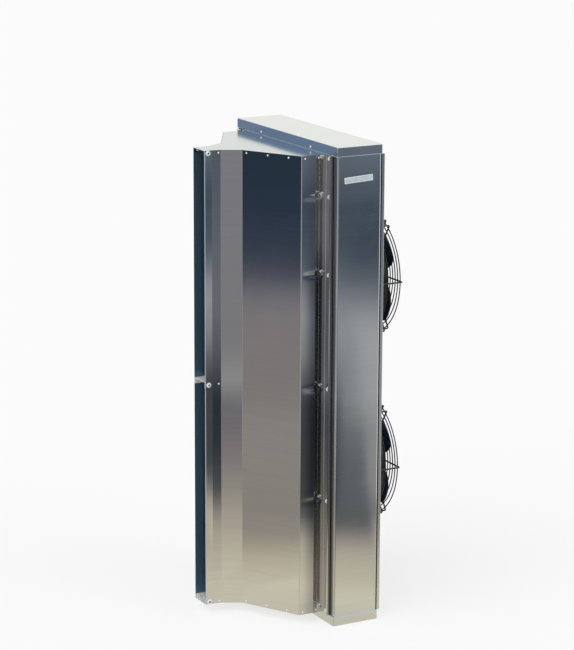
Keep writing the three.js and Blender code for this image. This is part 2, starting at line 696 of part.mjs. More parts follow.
// The cable's entry: a domed nut outside and a threaded neck through panel and box.
function addCableGland() {
  const neck = GLAND_HOLE_RADIUS - 2 * CLEARANCE;
  const inside = SHEET + JUNCTION_BOX_WALL + 2 * CLEARANCE + GLAND_THREAD_INSIDE;
  const bore = neck / 2;
  const gland = turned([
    [bore, CLEARANCE + GLAND_LENGTH],
    [neck, CLEARANCE + GLAND_LENGTH],
    [GLAND_RADIUS, CLEARANCE + GLAND_NUT_LENGTH],
    [GLAND_RADIUS, CLEARANCE],
    [neck, CLEARANCE],
    [neck, -inside],
    [bore, -inside],
  ], ROUND_SMALL);
  gland.rotateZ(Math.PI / 2);
  addPiece('cable_gland', 'plastic', gland, [-PANEL_X, 0, BOX_MIDDLE]);
}

// The bare plate on the right side, stuck on a little out of level.
function addSidePlate() {
  const plate = new THREE.BoxGeometry(PLATE_THICKNESS, PLATE_WIDTH, PLATE_HEIGHT);
  plate.rotateX(radians(PLATE_TILT));
  const x = PANEL_X + CLEARANCE + PLATE_THICKNESS / 2;
  addPiece('side_plate', 'plate', plate, [x, PLATE_OFFSET, BETWEEN_CAPS_TOP - PLATE_DROP]);
}

addCasing();
addNozzle();
addBolts();
addFans();
addJunctionBox();
addCableGland();
addSidePlate();

export default object;
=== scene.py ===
import bmesh
import bpy
import numpy as np
from mathutils import Matrix


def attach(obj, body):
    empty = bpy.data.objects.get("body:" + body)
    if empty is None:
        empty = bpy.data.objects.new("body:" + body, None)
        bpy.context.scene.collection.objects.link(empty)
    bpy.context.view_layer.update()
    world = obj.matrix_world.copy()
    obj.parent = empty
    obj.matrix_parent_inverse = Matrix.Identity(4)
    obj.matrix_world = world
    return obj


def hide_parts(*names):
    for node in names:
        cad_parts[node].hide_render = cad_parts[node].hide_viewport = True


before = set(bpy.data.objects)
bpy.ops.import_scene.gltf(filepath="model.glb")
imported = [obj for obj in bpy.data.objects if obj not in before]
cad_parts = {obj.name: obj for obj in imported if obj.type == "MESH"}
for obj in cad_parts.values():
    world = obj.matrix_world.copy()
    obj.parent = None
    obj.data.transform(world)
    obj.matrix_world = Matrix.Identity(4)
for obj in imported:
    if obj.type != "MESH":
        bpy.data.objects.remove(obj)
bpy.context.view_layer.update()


# ---------------------------------------------------------------- the studio
# A pale floor under plain soft light. Polished steel shows what stands round it, so reflections
# alone also find strips of light and dark ground on the floor, one in each direction that a panel
# mirrors, and a bright ceiling with darker sides in the world.

azimuth, elevation, roll = np.radians([61.50, 13.46, 0.23])
backward = np.array([
    np.sin(azimuth) * np.cos(elevation), -np.cos(azimuth) * np.cos(elevation), np.sin(elevation),
])
level_right = np.array([np.cos(azimuth), np.sin(azimuth), 0])
level_up = np.cross(backward, level_right)
camera_right = np.cos(roll) * level_right + np.sin(roll) * level_up
camera_up = np.cos(roll) * level_up - np.sin(roll) * level_right
camera_place = (8.977, -4.968, 3.633)

camera_data = bpy.data.cameras.new("camera")
camera_data.lens = 139.62
camera_data.clip_end = 300
camera = bpy.data.objects.new("camera", camera_data)
placed = np.eye(4)
placed[:3] = np.column_stack([camera_right, camera_up, backward, camera_place])
camera.matrix_world = Matrix(placed.tolist())
bpy.context.scene.collection.objects.link(camera)
bpy.context.scene.camera = camera
bpy.context.scene.view_settings.view_transform = "Standard"


def empty_tree(owner):
    """The node tree of a material or a world, emptied."""
    owner.use_nodes = True
    owner.node_tree.nodes.clear()
    return owner.node_tree


def add_node(tree, kind, inputs=None, **options):
    """One shader node: its options are set, and each input takes a value or a link."""
    made = tree.nodes.new(kind)
    for name, value in options.items():
        setattr(made, name, value)
    for name, value in (inputs or {}).items():
        if isinstance(value, bpy.types.NodeSocket):
            tree.links.new(value, made.inputs[name])
        else:
            made.inputs[name].default_value = value
    return made


def sums(tree, operation, *values, clamp=False):
    """One Math node over one, two or three numbers or sockets."""
    return add_node(
        tree, "ShaderNodeMath", dict(enumerate(values)), operation=operation, use_clamp=clamp,
    ).outputs[0]


def between(tree, value, low, high, start=0.0, end=1.0):
    """A number carried smoothly from one range to another, and held at its ends."""
    return add_node(
        tree, "ShaderNodeMapRange", {0: value, 1: low, 2: high, 3: start, 4: end},
        interpolation_type="SMOOTHSTEP",
    ).outputs[0]


def tints(tree, factor, stops):
    """A colour ramp through the stops, each a place and a colour."""
    ramp = add_node(tree, "ShaderNodeValToRGB", {0: factor})
    elements = ramp.color_ramp.elements
    for place, _ in stops[2:]:
        elements.new(place)
    for element, (place, colour) in zip(elements, stops):
        element.position = place
        element.color = (*colour, 1)
    return ramp.outputs[0]


def blend_colours(tree, factor, first, second, kind="MIX"):
    """One Mix node over two colours."""
    mix = add_node(tree, "ShaderNodeMix", {0: factor}, data_type="RGBA", blend_type=kind)
    for socket, value in ((mix.inputs[6], first), (mix.inputs[7], second)):
        if isinstance(value, bpy.types.NodeSocket):
            tree.links.new(value, socket)
        else:
            socket.default_value = (*value, 1)
    return mix.outputs[2]


floor_half, floor_drop = 90.0, 0.001
floor_mesh = bpy.data.meshes.new("studio_floor")
floor_mesh.from_pydata([
    (across * floor_half, along * floor_half, -floor_drop)
    for across, along in ((-1, -1), (1, -1), (1, 1), (-1, 1))
], [], [(0, 1, 2, 3)])
floor = bpy.data.objects.new("studio_floor", floor_mesh)
bpy.context.scene.collection.objects.link(floor)

floor_paint = bpy.data.materials.new("studio_floor")
tree = empty_tree(floor_paint)
where = add_node(tree, "ShaderNodeTexCoord").outputs["Object"]
ramp_share = 0.05  # a ramp's whole length is 20 m of floor


def floor_strip(under, x, y, degrees, reach, stops, half_width=0.2, start=0.0):
    """One strip of floor laid over what is under it: it starts at a place, runs off in a direction
    and widens by the reach for each metre. Each stop is a distance in metres and a light."""
    moved = add_node(tree, "ShaderNodeVectorMath", {0: where, 1: (x, y, 0)}, operation="SUBTRACT")
    turned = add_node(
        tree, "ShaderNodeMapping", {0: moved.outputs[0], 2: (0, 0, -np.radians(degrees))},
    )
    split = add_node(tree, "ShaderNodeSeparateXYZ", {0: turned.outputs[0]})
    along = split.outputs["X"]
    aside = sums(tree, "SUBTRACT", sums(tree, "ABSOLUTE", split.outputs["Y"]), half_width)
    cover = between(tree, sums(tree, "DIVIDE", aside, along), reach * 0.35, reach, 1.0, 0.0)
    cover = sums(tree, "MULTIPLY", cover, between(tree, along, start, start + 0.4))
    ramp = tints(
        tree, sums(tree, "MULTIPLY", along, ramp_share),
        [(away * ramp_share, light) for away, light in stops],
    )
    return blend_colours(tree, cover, under, ramp)


distance = add_node(tree, "ShaderNodeVectorMath", {0: where}, operation="LENGTH").outputs["Value"]
seen_floor = tints(tree, sums(tree, "MULTIPLY", distance, ramp_share), [
    (0.03, (0.62, 0.60, 0.50)), (0.07, (0.46, 0.44, 0.37)), (0.12, (0.26, 0.26, 0.26)),
    (0.80, (0.20, 0.21, 0.23)),
])
# to the left of the nozzle, as the cap's front skirt shows it
seen_floor = floor_strip(seen_floor, 0.0, -0.1, -151.5, 0.35, [
    (1.0, (0.38, 0.39, 0.41)), (4.0, (0.16, 0.20, 0.28)), (16.0, (0.16, 0.23, 0.36)),
])
# in front of the right slope: dark trees beyond a grey yard, and pale sand close by
seen_floor = floor_strip(seen_floor, 0.218, -0.285, -94.0, 0.50, [
    (0.25, (0.68, 0.65, 0.53)), (0.75, (0.54, 0.50, 0.39)), (1.1, (0.33, 0.30, 0.26)),
    (1.5, (0.28, 0.265, 0.24)), (3.0, (0.285, 0.275, 0.255)), (3.5, (0.235, 0.225, 0.22)),
    (5.9, (0.24, 0.225, 0.235)), (6.3, (0.13, 0.14, 0.17)), (6.8, (0.045, 0.058, 0.088)),
    (8.5, (0.027, 0.043, 0.072)), (16.0, (0.013, 0.025, 0.034)),
])
# in front of the narrow fold behind the outlet
seen_floor = floor_strip(seen_floor, 0.075, -0.39, -27.7, 0.27, [
    (0.3, (0.69, 0.66, 0.52)), (1.2, (0.46, 0.42, 0.35)), (1.9, (0.29, 0.28, 0.25)),
    (2.4, (0.225, 0.21, 0.215)), (3.3, (0.15, 0.15, 0.17)), (3.85, (0.34, 0.34, 0.34)),
    (4.5, (0.225, 0.225, 0.24)), (16.0, (0.235, 0.235, 0.26)),
])
# beside the outlet's lip
seen_floor = floor_strip(seen_floor, 0.052, -0.45, 8.5, 0.18, [
    (0.3, (0.64, 0.60, 0.49)), (1.15, (0.43, 0.39, 0.33)), (1.75, (0.075, 0.082, 0.09)),
    (2.5, (0.033, 0.042, 0.05)), (3.4, (0.020, 0.030, 0.038)), (4.5, (0.105, 0.115, 0.13)),
    (5.6, (0.165, 0.175, 0.195)), (9.0, (0.11, 0.13, 0.16)), (16.0, (0.070, 0.090, 0.115)),
])
# beside the casing's right panel
seen_floor = floor_strip(seen_floor, 0.43, 0.0, 29.8, 0.22, [
    (0.25, (0.72, 0.70, 0.56)), (0.5, (0.60, 0.57, 0.45)), (0.92, (0.49, 0.45, 0.37)),
    (1.3, (0.115, 0.125, 0.13)), (2.4, (0.13, 0.145, 0.16)), (2.9, (0.18, 0.19, 0.20)),
    (3.5, (0.28, 0.295, 0.31)), (5.1, (0.315, 0.33, 0.35)), (5.6, (0.39, 0.40, 0.42)),
    (6.3, (0.12, 0.145, 0.185)), (7.3, (0.045, 0.063, 0.088)), (9.6, (0.055, 0.076, 0.105)),
    (11.4, (0.15, 0.185, 0.235)),
])
# lighter ground to the right of that, as the panel's rear half shows it
seen_floor = floor_strip(seen_floor, 0.23, 0.35, 29.8, 0.02, [
    (0.6, (0.60, 0.57, 0.45)), (1.1, (0.46, 0.43, 0.38)), (1.5, (0.20, 0.21, 0.21)),
    (1.9, (0.30, 0.31, 0.31)), (2.9, (0.31, 0.32, 0.32)), (3.6, (0.41, 0.43, 0.44)),
    (5.4, (0.41, 0.43, 0.45)), (5.7, (0.36, 0.37, 0.39)), (6.3, (0.12, 0.145, 0.185)),
    (7.3, (0.045, 0.063, 0.088)), (9.6, (0.055, 0.076, 0.105)), (11.4, (0.15, 0.185, 0.235)),
], 0.30)
# darker ground to the left of it, as the wall beside the flange shows it
seen_floor = floor_strip(seen_floor, 0.634, -0.356, 29.8, 0.02, [
    (1.2, (0.14, 0.145, 0.145)), (1.5, (0.065, 0.070, 0.075)), (3.3, (0.050, 0.060, 0.065)),
    (3.8, (0.12, 0.13, 0.14)), (4.4, (0.27, 0.285, 0.30)), (5.1, (0.315, 0.33, 0.35)),
    (5.6, (0.38, 0.39, 0.41)), (6.4, (0.13, 0.155, 0.195)), (7.5, (0.065, 0.088, 0.12)),
    (9.6, (0.055, 0.076, 0.105)), (11.4, (0.14, 0.175, 0.225)),
], 0.30, 1.2)
# bright patches between them, which the folds pick up as thin lines
for degrees, reach in ((-57.0, 0.16), (-8.5, 0.09), (64.0, 0.35)):
    seen_floor = floor_strip(seen_floor, 0.1, -0.4, degrees, reach, [
        (1.0, (0.95, 0.95, 0.93)), (16.0, (0.85, 0.88, 0.92)),
    ], 0.0, 2.0)


def blend_shaders(tree, factor, first, second):
    """One Mix Shader node over two shaders."""
    return add_node(tree, "ShaderNodeMixShader", {0: factor, 1: first, 2: second}).outputs[0]


def ray_kinds(tree):
    """Whether a ray runs straight from the camera, also through glass, and whether it is a
    reflection."""
    kinds = add_node(tree, "ShaderNodeLightPath").outputs
    straight = sums(tree, "MAXIMUM", kinds["Is Camera Ray"], kinds["Is Transmission Ray"])
    return straight, kinds["Is Glossy Ray"]


seen_straight, mirrored = ray_kinds(tree)
in_metal = add_node(tree, "ShaderNodeEmission", {"Color": seen_floor}).outputs[0]
lit = add_node(tree, "ShaderNodeBsdfDiffuse", {"Color": (0.9, 0.9, 0.9, 1)}).outputs[0]
glow = add_node(tree, "ShaderNodeEmission", {"Color": (1, 1, 1, 1), "Strength": 1.0}).outputs[0]
plain = blend_shaders(tree, seen_straight, lit, blend_shaders(tree, 0.7, lit, glow))
add_node(tree, "ShaderNodeOutputMaterial", {
    "Surface": blend_shaders(tree, mirrored, plain, in_metal),
})
floor_mesh.materials.append(floor_paint)

world = bpy.data.worlds.new("studio")
bpy.context.scene.world = world
tree = empty_tree(world)
direction = add_node(tree, "ShaderNodeTexCoord").outputs["Generated"]
height = add_node(tree, "ShaderNodeSeparateXYZ", {0: direction}).outputs["Z"]
ceiling = tints(tree, height, [
    (0.00, (0.16, 0.18, 0.22)), (0.06, (0.30, 0.32, 0.36)), (0.16, (0.85, 0.86, 0.87)),
    (0.90, (1.0, 1.0, 1.0)),
])


def side_of_the_room(towards, start, end):
    """How far a direction leans to one side of the room, by its dot product with that side."""
    lean = add_node(
        tree, "ShaderNodeVectorMath", {0: direction, 1: towards}, operation="DOT_PRODUCT",
    ).outputs["Value"]
    return between(tree, lean, start, end)


# the top faces show the camera the back left of the room, and the cap's skirt its front left
ceiling = blend_colours(
    tree, side_of_the_room((-0.88, 0.47, 0.0), 0.70, 0.95), ceiling, (0.88, 0.90, 0.87),
)
ceiling = blend_colours(
    tree, side_of_the_room((-0.88, -0.47, 0.0), 0.75, 0.95), ceiling, (0.16, 0.24, 0.38),
)
ceiling = blend_colours(
    tree, side_of_the_room((0.0, -1.0, 0.0), 0.90, 0.97), ceiling, (0.012, 0.020, 0.030),
)
seen_straight, mirrored = ray_kinds(tree)
in_metal = add_node(tree, "ShaderNodeBackground", {"Color": ceiling}).outputs[0]
ambient = add_node(
    tree, "ShaderNodeBackground", {"Color": (1, 1, 1, 1), "Strength": 0.55},
).outputs[0]
white = add_node(tree, "ShaderNodeBackground", {"Color": (1, 1, 1, 1)}).outputs[0]
shown = blend_shaders(tree, seen_straight, blend_shaders(tree, mirrored, ambient, in_metal), white)
add_node(tree, "ShaderNodeOutputWorld", {"Surface": shown})

lamp_spread = np.radians(55)
for name, strength, across, above in (("key", 1.25, 18, 52), ("fill", 0.6, 128, 38)):
    lamp_data = bpy.data.lights.new(name, "SUN")
    lamp_data.energy = strength
    lamp_data.angle = lamp_spread
    lamp = bpy.data.objects.new(name, lamp_data)
    lamp.rotation_euler = (np.radians(90 - above), 0, np.radians(across))
    lamp.visible_glossy = False
    bpy.context.scene.collection.objects.link(lamp)


# ---------------------------------------------------------------- the two caps
# Shallow trays of 2 mm brushed steel that close the casing's top and bottom. Each is pressed from
# one sheet, with its skirt folded down outside the panels and a slit left at each corner.

def grid_faces(rows, columns, round_rows=False, round_columns=False):
    """Quads over a grid whose point (i, j) has number i * columns + j. A round direction joins
    its last line to its first."""
    i, j = np.meshgrid(
        np.arange(rows if round_rows else rows - 1),
        np.arange(columns if round_columns else columns - 1), indexing="ij",
    )
    below, beside = (i + 1) % rows, (j + 1) % columns
    corners = [i * columns + j, i * columns + beside, below * columns + beside, below * columns + j]
    return np.stack(corners, axis=-1).reshape(-1, 4)


def grid_shell(grid, round_rows=False, round_columns=False, capped=False):
    """A grid of points as a shell: its vertices in a row, and its faces. Capped closes the first
    and the last line of points, each with one face."""
    rows, columns = grid.shape[:2]
    faces = grid_faces(rows, columns, round_rows, round_columns).tolist()
    if capped:
        ends = np.arange(rows * columns).reshape(rows, columns)
        faces += [ends[0].tolist(), ends[-1][::-1].tolist()]
    return grid.reshape(-1, 3), faces


def make_piece(name, shells, material, body="casing", replaced=(), sharp=32):
    """Puts closed shells, given in millimetres, into one mesh in metres: doubles merged, faces
    turned outwards, and edges steeper than the angle kept sharp."""
    starts = np.cumsum([0] + [len(vertices) for vertices, _ in shells])
    vertices = np.concatenate([vertices for vertices, _ in shells]) / 1000
    faces = [
        [start + number for number in face]
        for start, (_, shell_faces) in zip(starts, shells) for face in shell_faces
    ]
    mesh = bpy.data.meshes.new(name)
    mesh.from_pydata(vertices.tolist(), [], faces)
    solid = bmesh.new()
    solid.from_mesh(mesh)
    bmesh.ops.remove_doubles(solid, verts=solid.verts, dist=2e-6)
    bmesh.ops.dissolve_degenerate(solid, edges=solid.edges, dist=1e-7)
    bmesh.ops.recalc_face_normals(solid, faces=solid.faces)
    solid.to_mesh(mesh)
    solid.free()
    mesh.shade_smooth()
    mesh.set_sharp_from_angle(angle=np.radians(sharp))
    mesh.materials.append(material)
    piece = bpy.data.objects.new(name, mesh)
    bpy.context.scene.collection.objects.link(piece)
    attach(piece, body)
    if replaced:
        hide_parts(*replaced)
    return piece


def noise(tree, place, scale, detail, **more):
    """One noise pattern over the place."""
    inputs = {"Vector": place, "Scale": scale, "Detail": detail, **more}
    return add_node(tree, "ShaderNodeTexNoise", inputs).outputs[0]


def relief_from(tree, height, strength, distance, **more):
    """One Bump node: the height as a relief of some strength and depth."""
    inputs = {"Height": height, "Strength": strength, "Distance": distance, **more}
    return add_node(tree, "ShaderNodeBump", inputs).outputs[0]


def finish_with(tree, colour, gloss, relief, **more):
    """The surface itself, from its colour, roughness and relief, as the tree's output."""
    inputs = {"Base Color": colour, "Roughness": gloss, "Normal": relief, **more}
    surface = add_node(tree, "ShaderNodeBsdfPrincipled", inputs).outputs[0]
    add_node(tree, "ShaderNodeOutputMaterial", {"Surface": surface})


def brushed_steel(name, light, dark, roughness, canning=1.0, dimmed=None):
    """Sheet steel brushed along the level: fine streaks in colour, gloss and relief that run level
    on upright faces and across on flat ones, faint cloudy smudges, and the slow waves of thin
    sheet. Its shine is drawn out square to the grain. Dimmed, if given, says from the place the
    painted shade and painted highlights laid on the colour, and how metallic it looks."""
    material = bpy.data.materials.new(name)
    tree = empty_tree(material)
    coordinates = add_node(tree, "ShaderNodeTexCoord")
    place = coordinates.outputs["Object"]
    facing = add_node(tree, "ShaderNodeSeparateXYZ", {0: coordinates.outputs["Normal"]})
    flat = sums(tree, "GREATER_THAN", sums(tree, "ABSOLUTE", facing.outputs["Z"]), 0.7)

    def grain(along, across, detail):
        """Noise drawn out along the grain, as so many waves per metre along it and across it."""
        upright, level = (
            add_node(tree, "ShaderNodeMapping", {0: place, 3: waves_per_metre}).outputs[0]
            for waves_per_metre in ((along, along, across), (along, across, along))
        )
        chosen = add_node(
            tree, "ShaderNodeMix", {0: flat, 4: upright, 5: level}, data_type="VECTOR",
        ).outputs[1]
        return noise(tree, chosen, 1.0, detail, Roughness=0.65)

    fine = grain(3.0, 900.0, 3.0)
    coarse = grain(0.8, 90.0, 4.0)
    broad = grain(0.35, 14.0, 3.0)
    clouds = noise(tree, place, 5.0, 6.0, Roughness=0.6, Distortion=0.5)
    waves = noise(tree, place, 2.2, 1.0)
    streaks = sums(tree, "MULTIPLY_ADD", fine, 0.35, sums(tree, "MULTIPLY", coarse, 0.4))
    streaks = sums(tree, "MULTIPLY_ADD", broad, 0.25, streaks)
    tone = between(tree, streaks, 0.32, 0.68)
    colour = blend_colours(tree, tone, dark, light)
    metallic = 1.0
    if dimmed:
        kept, metallic = dimmed(tree, add_node(tree, "ShaderNodeSeparateXYZ", {0: place}))
        colour = blend_colours(tree, 1.0, colour, kept, "MULTIPLY")
    smudge = between(tree, clouds, 0.40, 0.85)
    gloss = sums(tree, "MULTIPLY_ADD", sums(tree, "SUBTRACT", streaks, 0.5), 0.06, roughness)
    gloss = sums(tree, "MULTIPLY_ADD", smudge, 0.035, gloss, clamp=True)
    relief = relief_from(tree, waves, 0.3 * canning, 0.004)
    relief = relief_from(tree, streaks, 0.035, 0.0003, Normal=relief)
    shine = add_node(tree, "ShaderNodeCombineXYZ", {0: 0.0, 1: 0.05, 2: 1.0}).outputs[0]
    finish_with(tree, colour, gloss, relief, Metallic=metallic, Anisotropic=0.55, Tangent=shine)
    return material


casing_height = 2000.0
cap_width, cap_depth, cap_skirt, sheet = 860.0, 210.0, 40.0, 2.0
cap_corner, cap_bend, cap_lap = 5.0, 3.0, 30.0
slit_depth, slit_spread = 1.6, 0.16
skirt_face = cap_depth / 2


def cap_edge_painted_highlight(tree, place):
    """The cut edges of the skirts as a painted highlight: within 2 mm of them the colour is tinted
    blue and the metal scatters light, so a pale line shows, by the distance from half height."""
    away = sums(tree, "ABSOLUTE", sums(tree, "SUBTRACT", place.outputs["Z"], 1.0))
    edge = between(tree, away, 0.9616, 0.9628, 1.0, 0.0)
    colour = blend_colours(tree, edge, (1.0, 1.0, 1.0), (0.70, 0.80, 0.98))
    return colour, sums(tree, "MULTIPLY_ADD", edge, -0.6, 1.0)


cap_steel = brushed_steel(
    "cap_steel", (0.84, 0.84, 0.82), (0.79, 0.79, 0.77), 0.09, 0.6, cap_edge_painted_highlight,
)


def rounded_loop(half_width, half_depth, radius, steps):
    """Points round a rectangle in plan: each quarter turn is a circle about a corner's centre,
    and the sides join them. One row for each inset, as the sizes are columns of numbers."""
    angles = np.linspace(0, np.pi / 2, steps)
    quarters = (np.arange(4)[:, None] * np.pi / 2 + angles).ravel()
    toward = np.repeat(np.array([[1, 1], [-1, 1], [-1, -1], [1, -1]]), steps, axis=0)
    x = toward[:, 0] * (half_width - radius) + radius * np.cos(quarters)
    y = toward[:, 1] * (half_depth - radius) + radius * np.sin(quarters)
    return x, y, np.tile(angles, 4)


def bend_of(radius, inset, steps):
    """A sheet's quarter bend, from the flat to the skirt: the inset and the drop are each the
    radius times one minus the sine or the cosine of the angle."""
    arc = np.linspace(0, np.pi / 2, steps)
    return inset + radius * (1 - np.column_stack([np.sin(arc), np.cos(arc)]))


def cap_shell(top, down):
    """The tray: loops round a rectangle, one for each point of the folded sheet's profile, where
    an inset and a drop run over the bend, down the skirt, round its edge and back up inside. The
    corners sink a little in a narrow band below the bend."""
    profile = np.vstack([
        [(cap_lap, 0), (cap_bend + 1.2, 0)], bend_of(cap_bend, 0, 6),
        [(0, cap_bend + 1.5), (0, cap_skirt - 1.6), (0, cap_skirt - 0.6), (0.3, cap_skirt)],
        [(sheet - 0.3, cap_skirt), (sheet, cap_skirt - 0.6)],
        bend_of(cap_bend - sheet, sheet, 6)[::-1], [(cap_lap, sheet)],
    ])
    inset, drop = profile[:, :1], profile[:, 1:]
    radius = np.maximum(cap_corner - inset, 0.4)
    x, y, angles = rounded_loop(cap_width / 2 - inset, cap_depth / 2 - inset, radius, 17)
    outside = (inset < sheet / 2) & (drop > cap_bend + 1)
    pull = slit_depth * np.exp(-(((angles - np.pi / 4) / slit_spread) ** 2)) * outside
    grid = np.stack([
        x - np.sign(x) * pull * 0.7, y - np.sign(y) * pull * 0.7,
        np.broadcast_to(top + down * drop, x.shape),
    ], axis=-1)
    return grid_shell(grid, round_columns=True, capped=True)


make_piece(
    "cap_of_the_top", [cap_shell(casing_height, -1)], cap_steel, replaced=["top_cap"],
)
make_piece("cap_of_the_base", [cap_shell(0.0, 1)], cap_steel, replaced=["bottom_cap"])


# ---------------------------------------------------------------- the side panels
# Each side of the casing is one sheet, folded forward to carry the nozzle and back under the fan
# plate. Brushed steel with its grain level, darker in the flat than along its rolled folds.

def moved_path(points, gap):
    """An open path moved to its left: each point goes along the sum of its two segments' unit
    normals, over one plus their dot product, so that every segment keeps the gap."""
    steps = np.diff(points, axis=0)
    steps /= np.linalg.norm(steps, axis=1)[:, None]
    normals = np.column_stack([-steps[:, 1], steps[:, 0]])
    behind, ahead = np.vstack([normals[:1], normals]), np.vstack([normals, normals[-1:]])
    mitre = (behind + ahead) / (1 + (behind * ahead).sum(axis=1))[:, None]
    return points + gap * mitre


def folded_path(points, radius, steps=7, lead=1.2):
    """A path with its corners folded: an arc whose centre lies on the corner's bisector, at the
    radius over the sine of half the corner's angle, with one more point just before and after."""
    corner = points[1:-1]
    before, after = points[:-2] - corner, points[2:] - corner
    before /= np.linalg.norm(before, axis=1)[:, None]
    after /= np.linalg.norm(after, axis=1)[:, None]
    half = np.arccos(np.clip((before * after).sum(axis=1), -1, 1))[:, None] / 2
    bisector = before + after
    bisector /= np.linalg.norm(bisector, axis=1)[:, None]
    centre = corner + bisector * radius / np.sin(half)
    reach = radius / np.tan(half)
    start, end = corner + before * reach - centre, corner + after * reach - centre
    swing = np.arctan2(
        start[:, 0] * end[:, 1] - start[:, 1] * end[:, 0], (start * end).sum(axis=1),
    )
    angle = (swing[:, None] * np.linspace(0, 1, steps))[..., None]
    square = np.column_stack([-start[:, 1], start[:, 0]])
    arc = centre[:, None] + np.cos(angle) * start[:, None] + np.sin(angle) * square[:, None]
    first, last = corner + before * (reach + lead), corner + after * (reach + lead)
    rows = np.concatenate([first[:, None], arc, last[:, None]], axis=1)
    return np.vstack([points[:1], rows.reshape(-1, 2), points[-1:]])


seat_gap, root_x = 0.3, 342.0
dent_reach, dent_spread, dent_depth, dent_step = 42.0, 11.0, 1.6, 8.0


def folded_sheet(points, side, radius, low, high, dents=()):
    """A sheet standing on edge: its middle line in plan is a folded path, moved half the sheet's
    thickness to each side to give its two faces, and carried from one height to another. The
    short ends are closed with a face between each pair of points. A dent at a height draws the
    wall behind the flange in by a bell curve of the height times a share that falls off forward."""
    path = folded_path(np.array(points, float), radius)
    if len(dents):
        length = np.concatenate([[0], np.hypot(*np.diff(path, axis=0).T).cumsum()])
        stations = np.union1d(length, np.arange(dent_step, length[-1], dent_step))
        path = np.column_stack([np.interp(stations, length, path[:, axis]) for axis in (0, 1)])
    loop = np.vstack([moved_path(path, sheet / 2), moved_path(path, -sheet / 2)[::-1]])
    heights = np.array(dents, float).reshape(-1, 1)
    levels = np.union1d(
        [low, low + 1.5, high - 1.5, high], heights + np.linspace(-dent_reach, dent_reach, 29),
    )
    bell = np.exp(-(((levels - heights) / dent_spread) ** 2)).sum(axis=0)
    share = np.interp(loop[:, 1], [-212, -150, -128, -112], [0, 0.75, 1, 0])
    share *= np.abs(loop[:, 0] - root_x) < 4
    grid = np.empty((len(levels), len(loop), 3))
    grid[..., 0] = side * (loop[:, 0] - dent_depth * bell[:, None] * share)
    grid[..., 1] = loop[:, 1]
    grid[..., 2] = levels[:, None]
    vertices, faces = grid_shell(grid, round_columns=True)
    count, last = len(loop), (len(levels) - 1) * len(loop)
    near = np.arange(len(path) - 1)
    ends = np.column_stack([near, near + 1, count - 2 - near, count - 1 - near])
    return vertices, faces + ends.tolist() + (ends + last).tolist()


panel_low = sheet + seat_gap
panel_x, panel_y = cap_width / 2 - panel_low, skirt_face - panel_low
front_return, rear_return = root_x - seat_gap, 397.7
middle_x, middle_y = panel_x - sheet / 2, panel_y - sheet / 2
panel_middle = [
    (rear_return, middle_y), (middle_x, middle_y), (middle_x, -middle_y), (front_return, -middle_y),
]


def panel_nooks(tree, place):
    """Light lost on the folded front of the panel, in the narrow gap beside the nozzle's lip."""
    outside = sums(tree, "ABSOLUTE", place.outputs["X"])
    gap = between(tree, outside, 0.410, 0.427, 0.78, 0.12)
    gap = sums(tree, "MULTIPLY", gap, sums(tree, "LESS_THAN", place.outputs["Y"], -0.095))
    return blend_colours(tree, gap, (1.0, 1.0, 1.0), (0.06, 0.09, 0.13)), 1.0


panel_steel = brushed_steel(
    "panel_steel", (0.83, 0.83, 0.82), (0.77, 0.77, 0.76), 0.085, 1.3, panel_nooks,
)
for hand, side in (("right", 1), ("left", -1)):
    make_piece(
        f"side_sheet_{hand}",
        [folded_sheet(panel_middle, side, 8, panel_low, casing_height - panel_low)],
        panel_steel, replaced=[f"side_panel_{hand}"],
    )


# ---------------------------------------------------------------- the fan plate
# The tray across the back, of the same sheet, with two round openings cut for the fans. Its rim is
# folded forward all round and it is held by a row of screws down each side.

plate_x, plate_low = panel_x, cap_skirt + seat_gap
plate_high = casing_height - plate_low
plate_back, plate_rim, plate_fold = 117.0, 14.0, 3.5
fan_heights = {"lower": 587.0, "upper": 1384.0}
opening_radius = 250.0


def side_steps(low, high, steps=40):
    """Even steps along one side of a rectangle, up to its next corner."""
    return np.linspace(low, high, steps, endpoint=False)


def opening_sheet(centre, low, high, half_width, y):
    """The flat round one opening: rays from a circle to the rectangle round it, where a point is
    the circle's times one minus the share plus the rectangle's times the share."""
    across, upward = side_steps(-half_width, half_width), side_steps(low, high)
    side = np.ones(len(across))
    rim = np.column_stack([
        np.concatenate([across, half_width * side, -across, -half_width * side]),
        np.concatenate([low * side, upward, high * side, low + high - upward]),
    ])
    ray = rim - [0, centre]
    circle = [0, centre] + opening_radius * ray / np.linalg.norm(ray, axis=1)[:, None]
    share = np.array([0, 0.02, 0.35, 0.7, 1.0])[:, None, None]
    flat = circle * (1 - share) + rim * share
    return np.stack([flat[..., 0], np.full(flat.shape[:2], y), flat[..., 1]], axis=-1)


plate_steel = brushed_steel("plate_steel", (0.83, 0.83, 0.82), (0.77, 0.77, 0.76), 0.20)
halfway = sum(fan_heights.values()) / 2
plate_shells = []
for centre, low, high in (
    (fan_heights["lower"], plate_low + plate_fold, halfway),
    (fan_heights["upper"], halfway, plate_high - plate_fold),
):
    back_face = opening_sheet(centre, low, high, plate_x - plate_fold, plate_back)
    inner_face = back_face - [0, sheet, 0]
    wall = np.stack([back_face[0], inner_face[0]])
    plate_shells += [grid_shell(face, round_columns=True) for face in (back_face, inner_face, wall)]
rim_profile = np.vstack([
    bend_of(plate_fold, 0, 7),
    [(0, plate_fold + 1.2), (0, plate_rim), (sheet, plate_rim), (sheet, plate_fold + 1.2)],
    bend_of(plate_fold - sheet, sheet, 7)[::-1],
])
